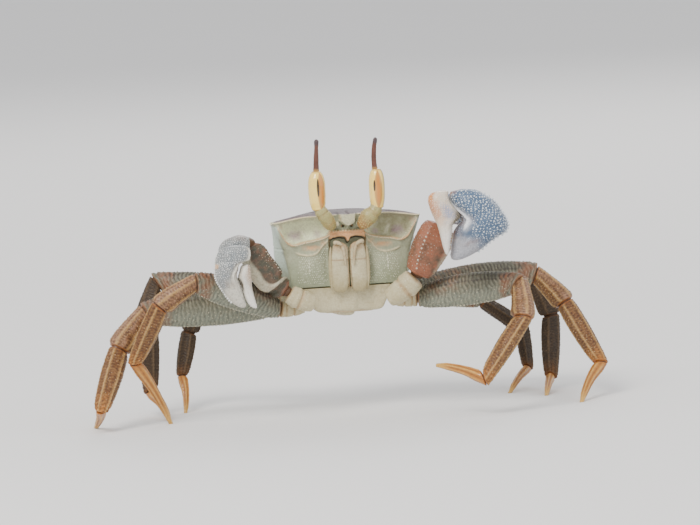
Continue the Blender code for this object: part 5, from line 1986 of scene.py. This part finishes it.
@dataclass
class WalkingLeg:
    """One walking leg: base, merus, carpus, propodus and dactyl through five joints."""

    number: int
    side: Side
    joints: tuple[tuple[float, float, float], ...]
    clearance: float = 0.16
    foot_below: float = 0.6

    def __post_init__(self) -> None:
        """Works out the directions of the segments and the planes they meet on."""
        pair, out = LEG_PAIRS[self.number], self.side.value
        self.finish = pair.finish
        self.high = dict(zip(Segment, (BASE_SHARE * pair.heights[0], *pair.heights)))
        joints = [Vector(joint) for joint in self.joints]
        self.path = [Vector((out * pair.root[0], pair.root[1], joints[0].z + 0.7)), *joints]
        self.bones = [(b - a).normalized() for a, b in zip(self.path, self.path[1:])]
        self.mitres = [(a + b).normalized() for a, b in zip(self.bones, self.bones[1:])]
        bend = self.bones[2].cross(self.bones[1]).normalized()
        self.ups = [Vector((0, 0, 1))]
        for bone in self.bones[1:]:
            level = bend.cross(bone)
            if level.z < 0 or level.dot(Vector((out, 0, 0))) < -0.5:
                level = -level
            self.ups.append(level if abs(bone.z) > 0.35 else Vector((0, 0, 1)) - bone * bone.z)

    @property
    def lifted(self) -> bool:
        """Whether the foot is clear of the ground."""
        return self.path[-1].z > 1.0

    def tube(self, segment: Segment, relief: Relief, rough: float) -> Tube:
        """One segment's shell between its joints.

        Args:
            segment: which one.
            relief: its surface relief.
            rough: its fine unevenness.

        Returns:
            The tube.
        """
        bone, profile, high = segment.bone, PROFILES[segment], self.high[segment]
        start, end, along = self.path[bone], self.path[bone + 1], self.bones[bone]
        up = (self.ups[bone] - along * along.dot(self.ups[bone])).normalized()
        before = self.mitres[bone - 1] if bone else None
        after = self.mitres[bone] if segment is not Segment.DACTYL else None
        first, last = (place + along * (way * self.clearance / 2 / (abs(along.dot(plane)) if plane else 1.0))
                       for place, way, plane in ((start, 1.0, before), (end, -1.0, after)))
        if segment is Segment.DACTYL and not self.lifted:
            last = end + along * self.foot_below
        rows = [(first.lerp(last, at) + up * (profile.bow * math.sin(math.pi * at)), high * tall,
                 high * profile.thickness * thick) for at, tall, thick in profile.rows]
        return Tube(rows, self.ups[bone], profile.power, before, after, cap_start=0.32,
                    cap_end=profile.cap_end, relief=relief, rough=rough)

    def skin(self, shell: ShellMesh, segment: Segment, tall: float, thick: float) -> None:
        """Fills the joint beyond a segment with dark skin."""
        bone = segment.bone
        joint = self.path[bone + 1]
        joint_plug(shell, (joint - self.bones[bone], joint, joint + self.bones[bone + 1]), self.ups[bone + 1],
                   tall, thick)

    def store(self, shell: ShellMesh, segment: Segment, finish: Finish) -> None:
        """Brings one segment's piece into the scene."""
        shell.store(f"leg{self.number}_{self.side.word}_{segment.value}", finish)

    def build(self) -> None:
        """Makes the five pieces."""
        self.build_base()
        self.build_merus()
        for kind in SHORT_SEGMENTS:
            self.build_short(kind)
        self.build_dactyl()

    def build_base(self) -> None:
        """The base, with its two seams."""
        shell = ShellMesh()
        tube = self.tube(Segment.BASE, lambda turn, at, run: -0.30 * hump(at, 0.48, 0.05)
                         - 0.25 * hump(at, 0.80, 0.045), 0.12)
        tube.grow(shell, 40, 56, lambda turn, at: {
            Dye.JOINT: min(1.0, 0.7 * (hump(at, 0.48, 0.08) + hump(at, 0.80, 0.08)) + smooth(0.9, 1.0, at)),
            Dye.LOWER: 0.4})
        self.store(shell, Segment.BASE, BREAST_SHELL)

    def build_merus(self) -> None:
        """The flat merus: cross wrinkles, dark bars above, beaded upper edge, toothed lower edges."""
        shell = ShellMesh()

        def relief(turn: float, at: float, run: float) -> float:
            """Cross wrinkles on both faces, a keel above and the collar before the knee."""
            rise = 0.17 * scale_fold(turn, run, MERUS_FOLD) + 0.22 * stripe(turn, 0.0, 0.05)
            collars = 0.20 * hump(at, 0.955, 0.014) + 0.18 * hump(at, 0.035, 0.014)
            return rise * plateau(at, 0.0, 0.07, 0.93, 1.0) - collars

        tube = self.tube(Segment.MERUS, relief, 0.14)

        def paint(turn: float, at: float) -> dict[Dye, float]:
            """Short dark ribs on the upper edge, dark lines below it, red-brown mottling, pale crests and
            painted shade in the troughs between the folds.
            """
            away, run = turn_gap(turn, 0.0), at * tube.length
            top, crest = smooth(0.17, 0.11, away), scale_fold(turn, run, MERUS_FOLD)
            wave = 0.5 + 0.5 * math.sin(run / RIB_GAP * 2 * math.pi + 0.9 * math.sin(at * 23.0 + self.number))
            ends = max(smooth(0.030, 0.004, at), smooth(0.975, 0.998, at))
            ribs = 0.9 * smooth(0.35, 0.85, wave) * top * smooth(0.95, 0.85, at)
            lines = (0.8 * hump(away, 0.155, 0.02) + 0.5 * hump(away, 0.075, 0.018)) * plateau(
                at, 0.05, 0.2, 0.75, 0.95)
            mottling = hump(at, 0.90, 0.11) + 0.55 * hump(at, 0.30, 0.26) * smooth(0.30, 0.10, away)
            return {
                # Besides the ribs and lines, the troughs between the folds are darkened a little: painted
                # shade.
                Dye.BAND: min(1.0, ribs + lines + 0.35 * smooth(0.5, 0.1, crest)) * (1.0 - ends),
                Dye.LOWER: smooth(0.18, 0.34, away), Dye.RIDGE: 0.6 * crest * (1.0 - 0.7 * top),
                Dye.MARK: min(1.0, 0.8 * mottling), Dye.JOINT: 0.8 * ends,
            }

        tube.grow(shell, 64, 190, paint)
        set_row(shell, tube, 0.0, (0.06, 0.94), 0.66, 0.20, {Dye.GRAIN: 0.35, Dye.BAND: 0.3}, 1.0, 0.5)
        for edge in (0.44, 0.56):
            set_row(shell, tube, edge, (0.08, 0.95), 0.95, 0.26, {Dye.GRAIN: 0.9}, 1.2, 0.5)
        set_field(shell, tube, 0.5, 0.24, (0.05, 0.95), 0.95, 0.15, {Dye.GRAIN: 0.8},
                  thinned(71.0, 53.0, 0.9, 0.35), 0.6, 1.3, 6)
        high, next_high = self.high[Segment.MERUS], self.high[Segment.CARPUS]
        self.skin(shell, Segment.MERUS, min(0.64 * high, 0.74 * next_high) * 0.90, next_high * 0.46)
        self.store(shell, Segment.MERUS, LEG_UPPER)

    def build_short(self, kind: ShortSegment) -> None:
        """The carpus or the propodus: long keels, scaly folds between them, red at the joints."""
        shell = ShellMesh()

        def relief(turn: float, at: float, run: float) -> float:
            """Keels, folds and the thin collar."""
            rise = 0.20 * long_keel(turn) + 0.13 * scale_fold(turn, run, SHORT_FOLD)
            return rise * plateau(at, 0.0, 0.06, 0.94, 1.0) - 0.13 * hump(at, 0.95, 0.018)

        tube = self.tube(kind.segment, relief, 0.14)

        def paint(turn: float, at: float) -> dict[Dye, float]:
            """Pale keels and fold crests, dark dashes beside the keels, painted shade in the fold troughs,
            orange at the ankle.
            """
            away, run = turn_gap(turn, 0.0), at * tube.length
            ends = max(smooth(0.045, 0.004, at), smooth(0.965, 0.998, at))
            crest = scale_fold(turn, run, SHORT_FOLD)
            dash = smooth(0.3, 0.8, 0.5 + 0.5 * math.sin(run / DASH_GAP * 2 * math.pi + turn * 31.0))
            beside = long_keel(turn, 0.045, 0.024) * (0.35 + 0.65 * dash)
            return {
                Dye.RIDGE: min(1.0, 0.85 * long_keel(turn) + 0.30 * crest) * (1.0 - ends),
                Dye.JOINT: 0.8 * ends, Dye.LOWER: smooth(0.30, 0.5, away),
                # Besides the dashes, the fold troughs are darkened a little: painted shade.
                Dye.BAND: min(1.0, beside + 0.4 * smooth(0.45, 0.1, crest)) * (1.0 - ends),
                Dye.TIP: kind.tip * smooth(0.68, 1.0, at), Dye.UPPER: kind.upper * smooth(0.36, 0.14, away),
            }

        tube.grow(shell, kind.around, kind.rows, paint)
        for keel in KEELS:
            set_row(shell, tube, keel, (0.08, 0.93), 0.50, 0.14, {Dye.GRAIN: 0.8}, 0.8, 0.5, 6)
        set_field(shell, tube, 0.0, 0.5, (0.08, 0.92), 0.72, 0.14, {Dye.GRAIN: 0.7},
                  thinned(47.0, 67.0, 0.95, kind.left_out), 0.6, 1.3, 6)
        beyond = list(Segment)[kind.segment.bone + 1]
        small = min(kind.own_share * self.high[kind.segment], kind.next_share * self.high[beyond])
        self.skin(shell, kind.segment, small * 0.90, small * kind.skin_thick)
        self.store(shell, kind.segment, self.finish)

    def build_dactyl(self) -> None:
        """The fluted, curved dactyl, cut flat where it stands."""
        shell = ShellMesh()

        def flute(turn: float) -> float:
            """1 on a ridge between two flutes, -1 in a flute."""
            return math.cos(2 * math.pi * FLUTES * turn)

        tube = self.tube(Segment.DACTYL, lambda turn, at, run: 0.13 * flute(turn)
                         * plateau(at, 0.02, 0.16, 0.75, 0.98), 0.07)
        tube.grow(shell, 60, 96, lambda turn, at: {
            Dye.RIDGE: 0.7 * smooth(0.2, 0.9, flute(turn)) * smooth(0.02, 0.16, at),
            # The flutes are darkened: painted shade.
            Dye.BAND: 0.6 * smooth(0.2, 0.9, -flute(turn)) * smooth(0.95, 0.6, at),
            Dye.TIP: smooth(0.62, 0.98, at), Dye.JOINT: smooth(0.05, 0.0, at)})
        for index in range(FLUTES):
            set_row(shell, tube, index / FLUTES, (0.10, 0.55), 0.6, 0.11, {Dye.GRAIN: 0.8}, 0.7, 0.4, 5)
        if not self.lifted:
            self.cut_foot(shell)
        self.store(shell, Segment.DACTYL, DACTYL_SHELL)

    @staticmethod
    def cut_foot(shell: ShellMesh) -> None:
        """Cuts the foot flat on the ground and closes it."""
        mesh = shell.mesh
        cut = bmesh.ops.bisect_plane(
            mesh, geom=mesh.verts[:] + mesh.edges[:] + mesh.faces[:], plane_co=(0.0, 0.0, 0.0),
            plane_no=(0.0, 0.0, -1.0), clear_outer=True)["geom_cut"]
        edges = [item for item in cut if isinstance(item, bmesh.types.BMEdge)]
        if edges:
            bmesh.ops.edgeloop_fill(mesh, edges=edges)


WALKING_LEGS = (
    WalkingLeg(2, Side.RIGHT, ((-18.0, -9.5, 28.4), (-40.4, -18.0, 37.4), (-49.9, -20.0, 32.1),
                               (-56.6, -14.0, 17.4), (-47.4, -4.5, 0.0))),
    WalkingLeg(3, Side.RIGHT, ((-18.5, -1.5, 28.6), (-52.6, -6.0, 29.1), (-60.1, -9.5, 20.6),
                               (-66.2, -16.5, 6.0), (-66.8, -3.0, 0.0))),
    WalkingLeg(4, Side.RIGHT, ((-18.0, 6.5, 29.2), (-46.9, 19.5, 34.2), (-50.2, 14.5, 26.3),
                               (-50.4, 15.0, 6.2), (-47.2, 1.7, 0.0))),
    WalkingLeg(5, Side.RIGHT, ((-14.5, 13.0, 29.6), (-34.2, 24.0, 28.7), (-38.4, 26.0, 20.3),
                               (-41.2, 23.0, 9.1), (-41.5, 16.8, 0.0))),
    WalkingLeg(2, Side.LEFT, ((18.0, -9.5, 29.0), (42.9, -21.0, 32.1), (42.2, -29.5, 24.2),
                              (30.9, -34.0, 9.7), (19.9, -24.0, 12.9))),
    WalkingLeg(3, Side.LEFT, ((18.5, -1.5, 29.6), (51.3, 6.0, 31.6), (58.2, 2.0, 24.0),
                              (65.7, -6.0, 8.5), (58.4, -17.0, 0.0))),
    WalkingLeg(4, Side.LEFT, ((18.0, 6.5, 29.6), (52.4, 19.0, 29.8), (56.8, 18.0, 19.4),
                              (55.5, 14.5, 3.4), (52.2, 2.4, 0.0))),
    WalkingLeg(5, Side.LEFT, ((14.5, 13.0, 29.6), (39.6, 27.0, 23.4), (50.4, 27.0, 15.4),
                              (51.1, 25.0, 4.9), (44.1, 12.9, 0.0))),
)
SMALL_ARM = ClawArm(
    Side.RIGHT,
    base=((-9.6, -13.6, 29.8, 4.4, 4.0), (-12.0, -14.3, 30.6, 5.2, 4.6), (-14.6, -14.6, 31.9, 5.2, 4.6),
          (-16.1, -14.6, 33.0, 4.8, 4.2)),
    merus=((-16.8, -14.8, 33.6, 4.8, 4.2), (-18.6, -14.8, 34.9, 6.2, 4.6),
           (-20.2, -14.7, 36.3, 7.4, 5.2), (-21.9, -14.4, 38.5, 8.0, 5.4),
           (-23.6, -13.8, 41.3, 7.7, 5.0), (-24.6, -13.1, 44.1, 6.7, 4.4),
           (-25.1, -12.7, 46.1, 4.6, 3.4)),
    carpus=((-28.7, -18.5, 49.1, 2.3, 3.0), (-28.8, -18.5, 48.7, 4.6, 4.8),
            (-29.3, -18.5, 47.9, 6.5, 6.0), (-29.8, -18.5, 46.6, 7.8, 6.6),
            (-30.0, -18.5, 45.3, 8.0, 6.6), (-30.0, -18.5, 44.3, 7.5, 6.0),
            (-29.9, -18.5, 43.5, 6.4, 4.4)),
    merus_tall=Vector((0.75, 0.0, -0.62)), carpus_tall=ACROSS, base_tall=Vector((0.5, 0.0, -0.85)),
    grain=0.19, carpus_finish=GREY_CLAW, carpus_stacked=DOWN, face=0.75, ruddy=0.14,
)
LARGE_ARM = ClawArm(
    Side.LEFT,
    base=((9.6, -13.6, 29.8, 4.4, 4.0), (12.0, -14.4, 31.0, 5.6, 5.0), (15.0, -14.8, 33.2, 6.2, 5.4),
          (16.9, -15.2, 35.0, 5.8, 5.0)),
    merus=((17.3, -15.2, 35.7, 6.0, 5.2), (18.7, -15.6, 38.1, 8.0, 6.0), (20.9, -16.0, 42.2, 9.4, 6.4),
           (23.2, -16.2, 46.2, 9.2, 6.4), (24.4, -16.2, 48.1, 7.8, 5.6)),
    carpus=((25.4, -16.2, 49.4, 5.0, 4.6), (26.8, -16.4, 50.9, 8.2, 7.4), (28.6, -16.9, 52.0, 9.0, 8.0),
            (30.3, -18.0, 52.6, 8.4, 7.8), (31.2, -19.6, 52.7, 7.2, 7.0), (31.4, -21.0, 52.6, 5.6, 5.4)),
    merus_tall=Vector((-0.75, 0.0, -0.62)), carpus_tall=Vector((0.0, -0.5, 1.0)),
    base_tall=Vector((-0.5, 0.0, -0.85)), grain=0.27, carpus_finish=BLUE_CLAW, face=0.25, ruddy=1.0,
)
SMALL_PINCER = Pincer(
    Side.RIGHT,
    palm=((-30.8, -24.9, 47.1, 2.5, 1.6), (-30.7, -24.9, 46.8, 5.1, 3.0), (-30.8, -24.9, 46.2, 7.2, 4.4),
          (-30.9, -24.9, 45.2, 8.1, 5.4), (-31.0, -24.9, 43.9, 8.4, 5.8), (-31.2, -24.9, 43.0, 8.2, 5.8),
          (-31.8, -24.9, 42.6, 7.1, 5.9), (-32.5, -25.0, 41.9, 5.8, 6.0), (-32.7, -25.0, 40.7, 5.6, 6.0),
          (-32.9, -25.1, 39.4, 5.2, 5.6), (-32.6, -25.2, 38.1, 5.0, 5.0), (-31.9, -25.3, 36.5, 4.7, 4.4),
          (-31.3, -25.5, 35.0, 4.3, 3.6), (-30.6, -25.7, 33.4, 3.5, 2.8), (-29.8, -25.9, 32.0, 2.4, 2.0),
          (-29.1, -26.0, 31.1, 1.3, 1.2)),
    finger=((-28.0, -24.5, 42.1, 1.6, 2.6), (-28.0, -24.5, 41.6, 2.3, 3.6),
            (-28.1, -24.6, 40.3, 2.9, 4.2), (-28.3, -24.8, 39.1, 3.3, 4.2),
            (-28.1, -25.0, 37.8, 3.0, 4.0), (-27.9, -25.3, 36.3, 2.6, 3.6),
            (-27.6, -25.6, 34.7, 2.4, 3.0), (-27.2, -25.9, 33.2, 2.2, 2.4),
            (-26.7, -26.2, 31.8, 1.8, 1.6), (-26.1, -26.4, 30.8, 0.8, 0.8)),
    finish=GREY_CLAW, finger_finish=PALE_FINGER, grain=0.19, grain_gap=0.62, teeth=0.20, palm_end=0.50,
    gape_turn=0.0, edge_turn=0.5, finger_gape=0.5, ruddy=0.9, wrist_turn=0.46, wrist_at=0.31,
    wrist_reach=0.10, around=96, rows=130,
)
LARGE_PINCER = Pincer(
    Side.LEFT,
    palm=((28.4, -26.7, 58.0, 2.3, 2.0), (28.5, -26.8, 57.7, 5.6, 5.5), (29.1, -26.9, 57.1, 7.4, 7.6),
          (29.8, -27.0, 55.9, 9.1, 9.4), (30.8, -27.0, 54.5, 10.3, 10.4),
          (32.0, -27.0, 52.9, 10.5, 11.0), (33.0, -27.0, 51.3, 10.3, 11.0),
          (33.5, -27.0, 50.1, 10.8, 10.8), (33.3, -27.0, 49.4, 11.8, 10.6),
          (33.0, -27.1, 48.7, 12.8, 10.4), (32.6, -27.2, 47.6, 13.6, 10.0),
          (32.2, -27.3, 46.2, 13.2, 9.0), (30.9, -27.5, 45.0, 11.2, 8.0), (29.6, -27.7, 43.6, 9.1, 6.8),
          (28.4, -28.0, 42.2, 7.4, 5.4), (27.1, -28.3, 40.9, 4.9, 3.8), (26.1, -28.5, 40.0, 2.0, 2.0)),
    finger=((23.1, -27.9, 58.1, 2.0, 3.0), (22.6, -28.0, 57.6, 4.3, 5.0), (22.1, -28.2, 56.5, 5.2, 6.2),
            (22.3, -28.4, 54.9, 5.6, 6.6), (23.0, -28.7, 53.4, 6.2, 6.6), (23.8, -29.0, 51.8, 6.7, 6.2),
            (24.1, -29.1, 50.9, 6.6, 5.8), (23.9, -29.3, 50.3, 5.7, 5.4), (23.6, -29.4, 49.7, 4.7, 5.2),
            (23.3, -29.5, 48.8, 3.6, 5.0), (23.3, -29.9, 47.3, 3.1, 4.4), (23.2, -30.4, 45.3, 2.3, 3.6),
            (23.2, -30.8, 43.5, 1.6, 2.6), (23.2, -31.2, 42.3, 0.9, 1.6), (23.2, -31.3, 41.8, 0.4, 0.8)),
    finish=BLUE_CLAW, finger_finish=CREAM_FINGER, grain=0.29, grain_gap=0.92, teeth=0.34, palm_end=0.62,
    gape_turn=0.5, edge_turn=0.0, finger_gape=0.0, ruddy=0.35,
)


@dataclass
class Studio:
    """The pale floor, the soft lights and the camera."""

    azimuth: float = -7.0
    elevation: float = 5.5
    roll: float = 3.0
    distance: float = 1600.0
    lens: float = 316.8
    target: Vector = field(default_factory=lambda: Vector((2.0, 0.0, 38.4)))
    floor_radius: float = 9000.0
    floor_colour: Colour = (0.80, 0.79, 0.78)
    sky: Colour = (0.95, 0.96, 0.985)
    sky_strength: float = 1.0

    def build(self) -> None:
        """Sets up floor, world, lights and camera."""
        self.lay_floor()
        self.light_sky()
        self.area_light("key light", (-520.0, -760.0, 900.0), 520.0, 15.5, (1.0, 0.965, 0.91))
        self.area_light("fill light", (900.0, -500.0, 420.0), 800.0, 2.4, (0.92, 0.96, 1.0))
        self.area_light("back light", (300.0, 900.0, 700.0), 700.0, 5.0, (1.0, 0.98, 0.95))
        self.place_camera()

    def lay_floor(self) -> None:
        """A wide pale floor."""
        mesh = bmesh.new()
        bmesh.ops.create_circle(mesh, cap_ends=True, radius=self.floor_radius * MM, segments=96)
        data = bpy.data.meshes.new("studio_floor")
        mesh.to_mesh(data)
        mesh.free()
        made = bpy.data.materials.new("Studio floor")
        made.use_nodes = True
        nodes = Nodes(made.node_tree)
        shader = made.node_tree.nodes["Principled BSDF"]
        tone = Finish.effect(nodes, Effect.PATCHES, Scale=7.0, Contrast=1.0)
        low = tuple(value * 0.985 for value in self.floor_colour)
        nodes.wire(nodes.blend(tone.outputs["Patches"], low, self.floor_colour), shader, "Base Color")
        shader.inputs["Roughness"].default_value = 0.9
        data.materials.append(made)
        floor = bpy.data.objects.new("studio_floor", data)
        bpy.context.scene.collection.objects.link(floor)

    def light_sky(self) -> None:
        """An even pale surround."""
        world = bpy.data.worlds.new("Studio surround")
        world.use_nodes = True
        ground = world.node_tree.nodes["Background"]
        ground.inputs["Color"].default_value = (*self.sky, 1.0)
        ground.inputs["Strength"].default_value = self.sky_strength
        bpy.context.scene.world = world

    def area_light(self, name: str, at: tuple[float, float, float], size: float, power: float,
                   tint: Colour) -> None:
        """Hangs one soft square light that faces the crab.

        Args:
            name: its name.
            at: where it hangs.
            size: its side.
            power: in watts.
            tint: its colour.
        """
        data = bpy.data.lights.new(name, "AREA")
        data.size, data.energy, data.color = size * MM, power, tint
        lamp = bpy.data.objects.new(name, data)
        bpy.context.scene.collection.objects.link(lamp)
        lamp.location = Vector(at) * MM
        aim = self.target * MM - lamp.location
        lamp.rotation_euler = aim.to_track_quat("-Z", "Y").to_euler()

    def place_camera(self) -> None:
        """Puts the camera on its line of sight, rolled a little."""
        az, el, roll = (math.radians(value) for value in (self.azimuth, self.elevation, self.roll))
        right = Vector((math.cos(az), math.sin(az), 0.0))
        up = Vector((-math.sin(az) * math.sin(el), math.cos(az) * math.sin(el), math.cos(el)))
        back = Vector((math.sin(az) * math.cos(el), -math.cos(az) * math.cos(el), math.sin(el)))
        turned_right = right * math.cos(roll) - up * math.sin(roll)
        turned_up = up * math.cos(roll) + right * math.sin(roll)
        data = bpy.data.cameras.new("studio camera")
        data.lens, data.sensor_width, data.clip_start, data.clip_end = self.lens, 36.0, 0.05, 60.0
        data.dof.use_dof = False
        camera = bpy.data.objects.new("studio camera", data)
        bpy.context.scene.collection.objects.link(camera)
        place = Matrix((turned_right, turned_up, back)).transposed().to_4x4()
        place.translation = (self.target + BUILD_TO_FRAME + back * self.distance) * MM
        camera.matrix_world = place
        bpy.context.scene.camera = camera


def main() -> None:
    """Builds the crab piece by piece, then the studio."""
    logging.basicConfig(level=logging.INFO, format="%(message)s")
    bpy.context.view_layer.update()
    makers = [BodyShell(), Breastplate(), *(MouthPart(side) for side in Side), *EYES,
              SMALL_ARM, LARGE_ARM, SMALL_PINCER, LARGE_PINCER, *WALKING_LEGS]
    for maker in makers:
        maker.build()
        log.info("built %s", type(maker).__name__)
    Studio().build()


if __name__ == "__main__":
    main()
